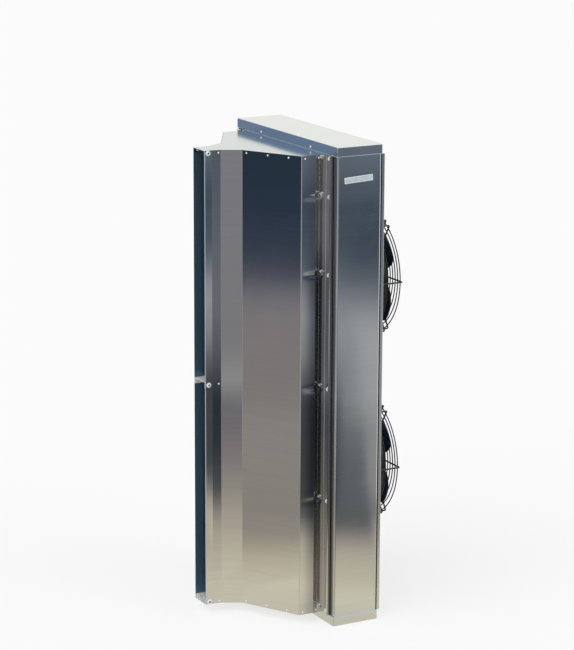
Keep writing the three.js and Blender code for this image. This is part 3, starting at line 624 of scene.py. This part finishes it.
# the rim turns the corner square, with the same points along each side as the flat has
side_share = side_steps(-1, 1)
rim_inset, rim_drop = rim_profile[:, :1], rim_profile[:, 1:]
half_x = plate_x - rim_inset
rim_low, rim_high = plate_low + rim_inset, plate_high - rim_inset
flat_low, flat_high = plate_low + plate_fold, plate_high - plate_fold
upward = np.concatenate([side_steps(flat_low, halfway), side_steps(halfway, flat_high)])
upward_share = (upward - flat_low) / (flat_high - flat_low)
rise = rim_low + (rim_high - rim_low) * upward_share
sink = rim_high - (rim_high - rim_low) * (1 - np.concatenate([[1], upward_share[:0:-1]]))
rim_x = np.hstack([
    half_x * side_share, half_x + 0 * rise, -half_x * side_share, -half_x + 0 * sink,
])
rim_z = np.hstack([rim_low + 0 * side_share, rise, rim_high + 0 * side_share, sink])
rim_grid = np.stack([rim_x, np.broadcast_to(plate_back - rim_drop, rim_x.shape), rim_z], axis=-1)
plate_shells.append(grid_shell(rim_grid, round_columns=True))
make_piece("fan_plate_sheet", plate_shells, plate_steel, replaced=["fan_plate"])


def full_turn(steps):
    """Angles of even steps round a circle, as a column."""
    return np.linspace(0, 2 * np.pi, steps, endpoint=False)[:, None]


def turned_shell(place, out, reach, rise, turns, ring=False):
    """A profile turned about a level direction: a point is the place plus its reach times a spoke
    plus its rise along the direction. A spoke is the angle's cosine and sine along two directions
    square to that one. A ring's profile closes on itself, and another's ends lie on the line."""
    out = np.array(out, float)
    first = np.cross(out, [0, 0, 1])
    first /= np.linalg.norm(first)
    angle = full_turn(turns)
    spoke = np.cos(angle) * first + np.sin(angle) * np.cross(out, first)
    grid = np.array(place, float) + reach[..., None] * spoke[:, None] + rise[:, None] * out
    return grid_shell(grid, round_rows=True, round_columns=ring)


def pan_screw(place, out, radius=4.2, height=2.6):
    """A small pan head with a socket, turned about the direction out."""
    profile = np.array([
        (0, -0.6), (1, -0.6), (1, 0.25), (0.94, 0.6), (0.78, 0.88), (0.5, 1.0), (0.34, 0.97),
        (0.30, 0.55), (0, 0.5),
    ])
    return turned_shell(place, out, profile[:, 0] * radius, profile[:, 1] * height, 18)


def new_finish(name):
    """An empty material, with its tree and its place in Object coordinates."""
    material = bpy.data.materials.new(name)
    tree = empty_tree(material)
    return material, tree, add_node(tree, "ShaderNodeTexCoord").outputs["Object"]


def plain_metal(name, colour, roughness, worn, metallic=1.0):
    """A small metal part: even colour broken by fine specks, with duller patches of wear."""
    material, tree, place = new_finish(name)
    specks = noise(tree, place, 420.0, 3.0)
    patches = noise(tree, place, 35.0, 4.0)
    mixed = blend_colours(tree, between(tree, patches, 0.45, 0.7, 0.0, 0.5), colour, worn)
    mixed = blend_colours(tree, between(tree, specks, 0.4, 0.8, 0.0, 0.3), mixed, worn)
    gloss = sums(tree, "MULTIPLY_ADD", patches, 0.22, roughness - 0.11)
    finish_with(tree, mixed, gloss, relief_from(tree, specks, 0.25, 0.0002), Metallic=metallic)
    return material


zinc = plain_metal("bright_zinc", (0.95, 0.95, 0.96), 0.26, (0.80, 0.80, 0.80), 0.2)
column_x, column_end, row_spacing, row_end = 412.0, 70.0, 200.0, 62.0
edge_places = [
    (side * column_x, z) for side in (-1, 1)
    for z in np.linspace(column_end, casing_height - column_end, 7)
]
edge_places += [
    (step * row_spacing, z) for step in (-1, 0, 1) for z in (row_end, casing_height - row_end)
]
edge_screws = [pan_screw((x, plate_back, z), (0, 1, 0)) for x, z in edge_places]
make_piece("fan_plate_screws", edge_screws, zinc)


# ---------------------------------------------------------------- the brace
# A channel of the same sheet across the inside at half height, clamped by the middle bolts of the
# nozzle's flanges. Its shape in the frame is right, so it only takes the steel.

def dress(node, material):
    """Gives a node of the frame its finish, and leaves its shape alone."""
    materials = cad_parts[node].data.materials
    materials.clear()
    materials.append(material)


dress("centre_brace", panel_steel)


# ---------------------------------------------------------------- the nozzle's walls
# Two tall sheets, each folded six times from the lipped flange on the casing to the narrow
# outlet. The nearest thing on the object to a mirror, so they take the floor's light and dark.

wall_face = np.array([
    (396.32, -120), (396.32, -skirt_face), (root_x, -skirt_face), (root_x, -216), (95, -353),
    (55, -430), (49, -467), (49, -501),
], float)


def nozzle_nooks(tree, place):
    """Light lost, as painted shade, in the corner between the flange and the wall, by the place
    along Y, and inside the outlet, by the distance from the middle. It is lost to a cold blue. The
    corner is darkest at half height, as the floor lights it from below and the sky from above. A
    dark line runs along the wall's top edge under the end plate. The last 3 mm of the outlet's lips
    carry a painted highlight: tinted pale blue and less metallic, so their cut edges show as a
    light line."""
    outside = sums(tree, "ABSOLUTE", place.outputs["X"])
    corner = between(tree, place.outputs["Y"], -0.216, -0.150, 0.06, 1.0)
    deepest = tints(tree, sums(tree, "MULTIPLY", place.outputs["Z"], 0.5), [
        (share, (loss, loss, loss)) for share, loss in (
            (0.12, 0.45), (0.20, 0.66), (0.30, 0.80), (0.46, 0.84), (0.53, 0.77), (0.71, 0.80),
            (0.80, 0.26),
        )
    ])
    near_flange = between(tree, place.outputs["Y"], -0.140, -0.126, 1.0, 0.40)
    at_flange = sums(tree, "GREATER_THAN", outside, 0.3385)
    lip = between(tree, outside, 0.3955, 0.3970, 1.0, 0.35)
    for share in (near_flange, at_flange, deepest, lip):
        corner = sums(tree, "MULTIPLY", corner, share)
    colour = blend_colours(tree, corner, (1.0, 1.0, 1.0), (0.10, 0.13, 0.16))
    behind_lip = sums(tree, "MAXIMUM", sums(tree, "ADD", place.outputs["Y"], 0.467), 0.0)
    inner_face = sums(tree, "MULTIPLY_ADD", behind_lip, 0.162, 0.0482)
    within = sums(
        tree, "MULTIPLY", sums(tree, "LESS_THAN", outside, inner_face),
        sums(tree, "LESS_THAN", place.outputs["Y"], -0.432),
    )
    lip_painted_highlight = between(tree, place.outputs["Y"], -0.4978, -0.4960, 1.0, 0.0)
    lip_painted_highlight = sums(tree, "MULTIPLY", lip_painted_highlight, sums(tree, "GREATER_THAN", outside, 0.0482))
    colour = blend_colours(tree, within, colour, (0.13, 0.24, 0.34))
    rim = between(tree, place.outputs["Z"], 1.9588, 1.9595, 0.0, 0.75)
    colour = blend_colours(tree, rim, colour, (0.10, 0.12, 0.14))
    colour = blend_colours(tree, lip_painted_highlight, colour, (0.66, 0.78, 0.95))
    metallic = sums(tree, "MULTIPLY_ADD", within, -0.5, 1.0)
    return colour, sums(tree, "MULTIPLY_ADD", lip_painted_highlight, -0.6, metallic)


middle_bolt, end_bolt = casing_height / 2, plate_low + 13.0
between_bolts = (middle_bolt + end_bolt) / 2
flange_heights = [
    end_bolt, between_bolts, middle_bolt, casing_height - between_bolts,
    casing_height - end_bolt - 155.0, casing_height - end_bolt,
]
wall_steel = brushed_steel(
    "nozzle_steel", (0.84, 0.83, 0.82), (0.78, 0.77, 0.76), 0.075, 0.6, nozzle_nooks,
)
for hand, side in (("right", 1), ("left", -1)):
    make_piece(
        f"nozzle_sheet_{hand}",
        [folded_sheet(
            moved_path(wall_face, -sheet / 2), side, 3.4, plate_low, plate_high,
            flange_heights[1:5],
        )],
        wall_steel, replaced=[f"nozzle_wall_{hand}"],
    )


# ---------------------------------------------------------------- the nozzle's end plates
# Flat plates that close the nozzle at the top and the bottom, with rims turned in along the walls,
# and the tie at half height that holds the outlet's lips apart.

def matt_inside(tree, place):
    """Plain rolled steel keeps all its light, and scatters more than half of it."""
    return (1.0, 1.0, 1.0), 0.25


end_steel = brushed_steel("end_steel", (0.72, 0.75, 0.75), (0.64, 0.67, 0.67), 0.13, 0.6)
inner_steel = brushed_steel(
    "inner_steel", (0.97, 0.98, 0.96), (0.92, 0.93, 0.91), 0.30, 0.6, matt_inside,
)
dress("nozzle_top_plate", end_steel)
dress("nozzle_bottom_plate", inner_steel)
dress("outlet_spacer", inner_steel)


# ---------------------------------------------------------------- the bolts
# Zinc-plated hexagon bolts with washers hold the flanges, and socket screws in wide bright washers
# pinch the outlet's lips on the end plates and the tie.

def hexagon_reach(inner, turns):
    """A hexagon's radius round a full turn: its inner radius over the cosine of the angle from the
    middle of the nearest side."""
    return inner / np.cos((full_turn(turns) + np.pi / 6) % (np.pi / 3) - np.pi / 6)


def hexagon_bolt(place, out, shank, turns=36):
    """A hexagon head, its corners cut by a cone for the chamfer, on a washer and a stem."""
    reach = hexagon_reach(6.5, turns) * [0, 1, 1, 1, 1, 0.86, 0]
    reach = np.minimum(reach, [0, 7.6, 7.6, 7.6, 7.0, 6.0, 0])
    rise = np.array([0.4, 0.4, 1.6, 6.2, 7.1, 7.1, 7.1])
    washer = np.array([(4.2, 0), (9.6, 0), (10, 0.4), (10, 1.2), (9.6, 1.6), (4.2, 1.6)])
    stem = np.array([(0, -shank), (3.4, -shank), (4, 0.6 - shank), (4, 1.0), (0, 1.0)])
    return [
        turned_shell(place, out, reach, rise, turns),
        turned_shell(place, out, *washer.T, turns, ring=True),
        turned_shell(place, out, *stem.T, turns),
    ]


flange_x, bolt_shank = 372.8, 12.0
for hand, side in (("right", 1), ("left", -1)):
    shells = [
        shell for z in flange_heights
        for shell in hexagon_bolt((side * flange_x, -skirt_face, z), (0, -1, 0), bolt_shank)
    ]
    make_piece(
        f"flange_bolts_{hand}", shells, zinc,
        replaced=[f"flange_bolt_{hand}_{number}" for number in range(1, 7)],
    )

# the black disc in each socket is painted shade, standing in for the dark of the deep socket
socket_painted_shade = plain_metal("socket_painted_shade", (0.03, 0.03, 0.035), 0.4, (0.08, 0.08, 0.08))
end_screw = plate_low + 11.0
outlet_heights = {"bottom": end_screw, "middle": 988.0, "top": casing_height - end_screw}
outlet_lip_x, outlet_screw_y = 49.0, -484.0


def socket_screw(place, out, turns=32):
    """A round head with a deep socket, in a wide washer, and a black disc at the socket's floor,
    painted shade for the deep socket: profiles of (radius, rise) turned about the direction out.
    The disc comes back apart."""
    head = np.array([
        (0, -9), (4, -9), (4, 1.2), (7.0, 1.2), (7.0, 4.6), (6.4, 5.4), (4.4, 5.4), (4.0, 4.9),
        (4.0, 2.0), (0, 2.0),
    ])
    washer = np.array([(4.4, 0), (10.2, 0), (10.6, 0.4), (10.6, 1.1), (10.2, 1.5), (4.4, 1.5)])
    dark = np.array([(0, 2.1), (3.9, 2.1), (3.9, 3.2), (0, 3.2)])
    bright = [
        turned_shell(place, out, *head.T, turns),
        turned_shell(place, out, *washer.T, turns, ring=True),
    ]
    return bright, turned_shell(place, out, *dark.T, turns)


for hand, side in (("right", 1), ("left", -1)):
    screws = [
        socket_screw((side * outlet_lip_x, outlet_screw_y, z), (side, 0, 0))
        for z in outlet_heights.values()
    ]
    make_piece(
        f"outlet_screws_{hand}", [shell for bright, _ in screws for shell in bright], zinc,
        replaced=[f"outlet_bolt_{hand}_{level}" for level in outlet_heights],
    )
    make_piece(f"outlet_sockets_{hand}", [dark for _, dark in screws], socket_painted_shade)


# ---------------------------------------------------------------- the sheet-metal screws
# Small pan-head screws and rivets, in zinc, that pin the nozzle's walls to its end plates, the tie
# to the lips, and the caps' front skirts to the casing.

_, _, flange_corner, root_end, slope_end, fold_end, lip_start, _ = wall_face
end_seams, cap_seams, cap_seam_x = (51.0, 1949.0), (28.5, casing_height - 28.5), 212.0
seam_screw, cap_screw = (3.6, 2.4), (4.4, 2.8)  # each head's radius and height
tie_x, tie_y, tie_z = 53.3, -440.2, 990.0
tie_outward = (0.987, -0.160)
seam_screws = (
    (lip_start, fold_end, 0.74), (slope_end, root_end, 0.07), (slope_end, root_end, 0.43),
    (slope_end, root_end, 0.78), (flange_corner, root_end, 0.30), (flange_corner, root_end, 0.86),
)
screw_shells = [
    pan_screw((side * tie_x, tie_y, tie_z), (side * tie_outward[0], tie_outward[1], 0), *seam_screw)
    for side in (1, -1)
]
for start, end, share in seam_screws:
    spot = start + (end - start) * share
    along = (end - start) / np.linalg.norm(end - start)
    outward = np.array([-along[1], along[0]]) * np.sign(-along[1])
    screw_shells += [
        pan_screw((side * spot[0], spot[1], z), (side * outward[0], outward[1], 0), *seam_screw)
        for z in end_seams for side in (1, -1)
    ]
screw_shells += [
    pan_screw((side * cap_seam_x, -skirt_face, z), (0, -1, 0), *cap_screw)
    for side in (-1, 1) for z in cap_seams
]
make_piece("seam_screws", screw_shells, zinc)


# ---------------------------------------------------------------- the inlet rings
# Each fan draws through a ring spun from sheet and painted black, with a flat foot on the fan
# plate and a bell mouth at its outer end, so the air turns in without tearing off the edge.

ring_depth, collar_radius, bell_radius = 121.0, opening_radius + sheet / 2, 10.0


def inlet_profile(back):
    """The ring's section: a foot, a small fold up into the collar and a quarter round out to the
    bell's lip, as a path with the sheet's half thickness moved to each side."""
    foot = folded_path(np.array([
        (265, back + sheet / 2), (collar_radius, back + sheet / 2), (collar_radius, back + 60),
    ]), 4.0)[:-1]
    bell = np.linspace(0, np.pi / 2, 12)
    mouth = np.column_stack([
        collar_radius + bell_radius * (1 - np.cos(bell)),
        back + ring_depth - bell_radius * (1 - np.sin(bell)),
    ])
    line = np.vstack([foot, mouth, [(collar_radius + bell_radius + 1, back + ring_depth)]])
    return np.vstack([moved_path(line, sheet / 2), moved_path(line, -sheet / 2)[::-1]])


def lathe_shell(profile, z, turns):
    """A profile of (radius, y) points turned about a fan's axis, along Y at a height."""
    radius, along = np.array(profile, float).T
    return turned_shell((0, 0, z), (0, 1, 0), radius, along, turns, ring=radius[0] > 0)


def painted_wire(name, colour, dust_and_sheen_colour):
    """Black paint over metal: a hard coat, slightly uneven, with paler specks of a second colour in
    random patches. On the blades that colour is bluish, a painted reflection of the sky.
    """
    material, tree, place = new_finish(name)
    orange_peel = noise(tree, place, 260.0, 2.0)
    dust_and_sheen_specks = noise(tree, place, 60.0, 5.0)
    mixed = blend_colours(tree, between(tree, dust_and_sheen_specks, 0.5, 0.8, 0.0, 0.35), colour, dust_and_sheen_colour)
    gloss = sums(tree, "MULTIPLY_ADD", dust_and_sheen_specks, 0.25, 0.24)
    relief = relief_from(tree, orange_peel, 0.3, 0.0003)
    finish_with(tree, mixed, gloss, relief, **{"Coat Weight": 0.4, "Coat Roughness": 0.18})
    return material


guard_paint = painted_wire("guard_paint", (0.012, 0.013, 0.017), (0.07, 0.075, 0.085))
for level, z in fan_heights.items():
    make_piece(
        f"bell_mouth_{level}", [lathe_shell(inlet_profile(plate_back + seat_gap), z, 160)],
        guard_paint, replaced=[f"inlet_ring_{level}"],
    )


# ---------------------------------------------------------------- the wire guards
# Nine rings of black-painted wire welded under bent double arms, which run from a pressed centre
# plate over the rings and down to feet screwed on the fan plate.

ring_wire, arm_wire = 2.5, 3.5
ring_y, rod_y, foot_y = 295.0, 299.5, 120.8
ring_radii = np.arange(262.0, 92.0, -20.0)
arm_start, arm_bend, arm_end = 68.0, 272.0, 289.0
foot_screw_radius, hub_screw_radius, hub_y = 280.0, 48.0, 299.4
foot_screw, hub_screw = (5.5, 3.4), (5.0, 3.2)  # each head's radius and height


def ring_shell(radius, z, turns=112, sides=10):
    """A ring of round wire: the wire's circle, at an angle v, carried round the fan's axis, so that
    the distance from the axis is the ring's radius plus the wire's times cosine v."""
    v = full_turn(sides)[:, 0]
    reach, rise = radius + ring_wire * np.cos(v), ring_y + ring_wire * np.sin(v)
    return turned_shell((0, 0, z), (0, 1, 0), reach, rise, turns, ring=True)


def bent_arm(angle, shift, z, sides=12):
    """An arm of round wire: a folded path in the plane of its own direction and Y, with a circle
    round each point in the path's normal and the direction square to the plane."""
    outward = np.array([np.cos(angle), 0, np.sin(angle)])
    square = np.array([-np.sin(angle), 0, np.cos(angle)])
    path = folded_path(np.array([
        (arm_start, rod_y), (arm_bend, rod_y), (arm_bend, foot_y), (arm_end, foot_y),
    ]), 7, 9)
    step = np.gradient(path, axis=0)
    step /= np.linalg.norm(step, axis=1)[:, None]
    v = full_turn(sides)
    along = path[:, 0] - arm_wire * np.cos(v) * step[:, 1]
    back = path[:, 1] + arm_wire * np.cos(v) * step[:, 0]
    aside = shift + arm_wire * np.sin(v) + 0 * along
    grid = (
        along[..., None] * outward + aside[..., None] * square + back[..., None] * [0, 1, 0]
        + [0, 0, z]
    )
    return grid_shell(grid.transpose(1, 0, 2), round_columns=True, capped=True)


# two single arms lie level, and four double ones lean, each pair either side of its direction
arms, half_pair = [(0.0, 0.0), (np.pi, 0.0)], 16.5
arms += [
    (np.radians(lean), shift) for lean in (57, 123, 237, 303) for shift in (half_pair, -half_pair)
]
centre_plate = [
    (0, 295), (80, 295), (82, 295.8), (82, 297.2), (80, 298), (64, 298), (60, 299.6), (36, 299.6),
    (32, 298), (0, 298),
]
for level, z in fan_heights.items():
    shells = [ring_shell(radius, z) for radius in ring_radii]
    shells += [bent_arm(angle, shift, z) for angle, shift in arms]
    shells.append(lathe_shell(centre_plate, z, 72))
    make_piece(f"wire_guard_{level}", shells, guard_paint, replaced=[f"guard_{level}"])
    screws = []
    for angle, shift in arms:
        x = foot_screw_radius * np.cos(angle) - shift * np.sin(angle)
        up = foot_screw_radius * np.sin(angle) + shift * np.cos(angle)
        screws.append(pan_screw((x, foot_y + arm_wire, z + up), (0, 1, 0), *foot_screw))
    for angle in np.radians([22.5, 112.5, 202.5, 292.5]):
        x, up = hub_screw_radius * np.cos(angle), hub_screw_radius * np.sin(angle)
        screws.append(pan_screw((x, hub_y, z + up), (0, 1, 0), *hub_screw))
    make_piece(f"guard_screws_{level}", screws, zinc)


# ---------------------------------------------------------------- the motors
# External-rotor motors hang from the guards' centre plates. The still half is a cast flange with
# the windings on a core, and the shaft's end shows in front of the can.

cast_black = painted_wire("cast_black", (0.018, 0.019, 0.022), (0.05, 0.052, 0.056))
still_half = [
    (0, 294.7), (62, 294.7), (64, 293.6), (64, 290.0), (62.8, 288.7), (46, 288.7), (46, 191.7),
    (10, 191.7), (10, 175.6), (9.1, 174.7), (0, 174.7),
]
for level, z in fan_heights.items():
    make_piece(
        f"motor_core_{level}", [lathe_shell(still_half, z, 64)], cast_black,
        replaced=[f"motor_stator_{level}"],
    )


# ---------------------------------------------------------------- the fans
# Five swept, twisted blades of pressed steel, painted navy, are welded round each motor's can and
# turn with it. The can is cast, with ribs on its front that throw off the heat.

# the blades' bluish second colour is a painted reflection of the sky on the navy paint
blade_paint = painted_wire("blade_paint", (0.016, 0.030, 0.062), (0.10, 0.14, 0.21))
can_back, can_front = 285.7, 179.7
blade_count, first_blade, blade_wall = 5, np.radians(33), 3.0
root_radius, tip_radius, root_chord, tip_chord = 63.0, 246.0, 80.0, 222.0
root_pitch, tip_pitch = np.radians([36, 9])
bow, sweep, rake = 9.0, 50.0, 6.0
blade_middle = can_back - 2 - root_chord * np.sin(root_pitch) / 2


def blade_shell(number, z, out=26, around=36):
    """A blade from its root, u = 0, to its tip, u = 1. Round its edge an angle v gives the place
    along the chord, half its cosine, and half the thickness times its sine. The chord grows and
    flattens towards the tip, bows by one minus the square of the place, and sweeps with u squared;
    the way round the axis is a length over the radius."""
    u = np.linspace(0, 1, out)[:, None]
    v = full_turn(around)[:, 0]
    tip_round = 1 - 0.16 * np.clip((u - 0.8) / 0.2, 0, 1) ** 3
    place = 0.5 * np.cos(v) * tip_round
    radius = root_radius + (tip_radius - root_radius) * u
    chord = root_chord + (tip_chord - root_chord) * u
    pitch = -(root_pitch + (tip_pitch - root_pitch) * np.sqrt(u))
    arch = bow * (1 - 4 * place ** 2)
    wall = blade_wall / 2 * np.sin(v) / np.cos(pitch)
    sideways = place * chord * np.cos(pitch) - arch * np.sin(pitch) + sweep * u ** 2
    along = place * chord * np.sin(pitch) + arch * np.cos(pitch) + rake * u + wall
    angle = first_blade + 2 * np.pi * number / blade_count + sideways / radius
    grid = np.stack([
        radius * np.cos(angle), blade_middle + along, z + radius * np.sin(angle),
    ], axis=-1)
    return grid_shell(grid, round_columns=True, capped=True)


rib_y = np.array([182.5, 180.2, 179.7, 180.2, 182.5])
rib_radius = np.concatenate([np.array([0, 1, 3, 5, 6]) + start for start in (22, 34, 46)])
can_profile = np.vstack([
    [(10.3, can_front + 3)], np.column_stack([rib_radius, np.tile(rib_y, 3)]),
    [(63, 182.5), (67.5, 184.5), (69, 188), (69, 200), (69, 202), (67.6, 203), (67.6, 206),
     (69, 207), (69, can_back - 2), (67.5, can_back), (53, can_back), (53, 185.7), (10.3, 185.7)],
])
for level, z in fan_heights.items():
    shells = [blade_shell(number, z) for number in range(blade_count)]
    make_piece(
        f"blades_{level}", shells + [lathe_shell(can_profile, z, 80)], blade_paint,
        body=f"{level}_fan", replaced=[f"fan_rotor_{level}"], sharp=40,
    )


# ---------------------------------------------------------------- the wiring
# A moulded box inside the left panel joins the fans' leads. Its lid and its cable gland are the
# same dark plastic, and the gland's domed nut shows outside.

def moulded_plastic(name, colour, scuffed, roughness):
    """Dark moulding: a fine spark-eroded grain in relief and gloss, with slightly paler scuffs."""
    material, tree, place = new_finish(name)
    texture = noise(tree, place, 900.0, 2.0)
    scuffs = noise(tree, place, 28.0, 5.0)
    mixed = blend_colours(tree, between(tree, scuffs, 0.5, 0.8, 0.0, 0.5), colour, scuffed)
    gloss = sums(tree, "MULTIPLY_ADD", scuffs, 0.2, roughness - 0.1)
    finish_with(tree, mixed, gloss, relief_from(tree, texture, 0.35, 0.0002))
    return material


box_plastic = moulded_plastic("box_plastic", (0.03, 0.032, 0.035), (0.076, 0.0804, 0.087), 0.5)
dress("junction_box", box_plastic)
dress("junction_box_lid", box_plastic)

gland_z = 1792.7


def gland_shells(turns=48):
    """Shapes turned about a line along X: a hexagon nut, a ribbed dome whose radius has a cosine
    of 24 times the angle added, and the threaded neck."""
    nut = np.array([(9.4, 0.3), (11.6, 0.3), (11.8, 0.8), (11.8, 5.6), (11.4, 6.2), (9.4, 6.2)])
    flats = np.where(nut[:, 0] > 10, hexagon_reach(nut[:, 0], turns), nut[:, 0])
    dome = np.array([
        (5.2, 5.8), (11.2, 5.8), (11.4, 7.0), (11.2, 12.0), (10.2, 14.6), (8.4, 17.2), (6.6, 18.3),
        (5.2, 18.3), (4.8, 16.0), (4.8, 8.0),
    ])
    ribbed = (dome[:, 0] > 10) & (dome[:, 1] > 6)
    ribs = dome[:, 0] + 0.35 * np.cos(24 * full_turn(turns)) * ribbed
    neck = np.array([(5.2, -13.6), (9.4, -13.6), (9.4, 6.0), (5.2, 6.0)])
    return [
        turned_shell((-panel_x, 0, gland_z), (-1, 0, 0), reach, rise, turns, ring=True)
        for reach, rise in ((flats, nut[:, 1]), (ribs, dome[:, 1]), neck.T)
    ]


make_piece("gland_nut", gland_shells(), box_plastic, replaced=["cable_gland"])


# ---------------------------------------------------------------- the bare plate
# A thin aluminium plate stuck a little askew near the top of the right side, left bare. It is pale
# blue-grey with a bright band along its edges.

bare_x, bare_y, bare_z = panel_x + seat_gap, -4.0, 1865.7
half_length, half_height, bare_thickness = 65.0, 12.5, 0.8
bare_tilt = np.radians(3)


def bare_shell(corner=3.0):
    """A rounded rectangle in rows: a loop for each point of its edge's profile, with the plate's
    own two directions turned by the tilt and its thickness along X."""
    top, bevel = bare_thickness, 0.25
    profile = np.array([(4, 0), (0, 0), (0, top - bevel), (bevel, top), (4, top)])
    inset, rise = profile[:, :1], profile[:, 1:]
    radius = np.maximum(corner - inset, 0.3)
    along, up, _ = rounded_loop(half_length - inset, half_height - inset, radius, 8)
    y = bare_y + along * np.cos(bare_tilt) - up * np.sin(bare_tilt)
    z = bare_z + along * np.sin(bare_tilt) + up * np.cos(bare_tilt)
    grid = np.stack([np.broadcast_to(bare_x + rise, y.shape), y, z], axis=-1)
    return grid_shell(grid, round_columns=True, capped=True)


plate_metal, tree, place = new_finish("plate_metal")
middle = (0, -bare_y / 1000, -bare_z / 1000)
centred = add_node(tree, "ShaderNodeMapping", {0: place, 1: middle})
turned = add_node(tree, "ShaderNodeMapping", {0: centred.outputs[0], 2: (-bare_tilt, 0, 0)})
across = add_node(tree, "ShaderNodeSeparateXYZ", {0: turned.outputs[0]}).outputs
from_end = sums(tree, "SUBTRACT", half_length / 1000, sums(tree, "ABSOLUTE", across["Y"]))
from_edge = sums(tree, "SUBTRACT", half_height / 1000, sums(tree, "ABSOLUTE", across["Z"]))
band = between(tree, sums(tree, "MINIMUM", from_end, from_edge), 0.0015, 0.0035, 1.0, 0.0)
mottle = noise(tree, place, 90.0, 4.0)
face = blend_colours(
    tree, between(tree, mottle, 0.35, 0.7), (0.52, 0.60, 0.68), (0.62, 0.69, 0.75),
)
face = blend_colours(tree, band, face, (0.84, 0.87, 0.88))
gloss = sums(tree, "MULTIPLY_ADD", mottle, 0.2, 0.32)
finish_with(tree, face, gloss, relief_from(tree, mottle, 0.15, 0.0002), Metallic=0.15)
make_piece("bare_plate", [bare_shell()], plate_metal, replaced=["side_plate"])
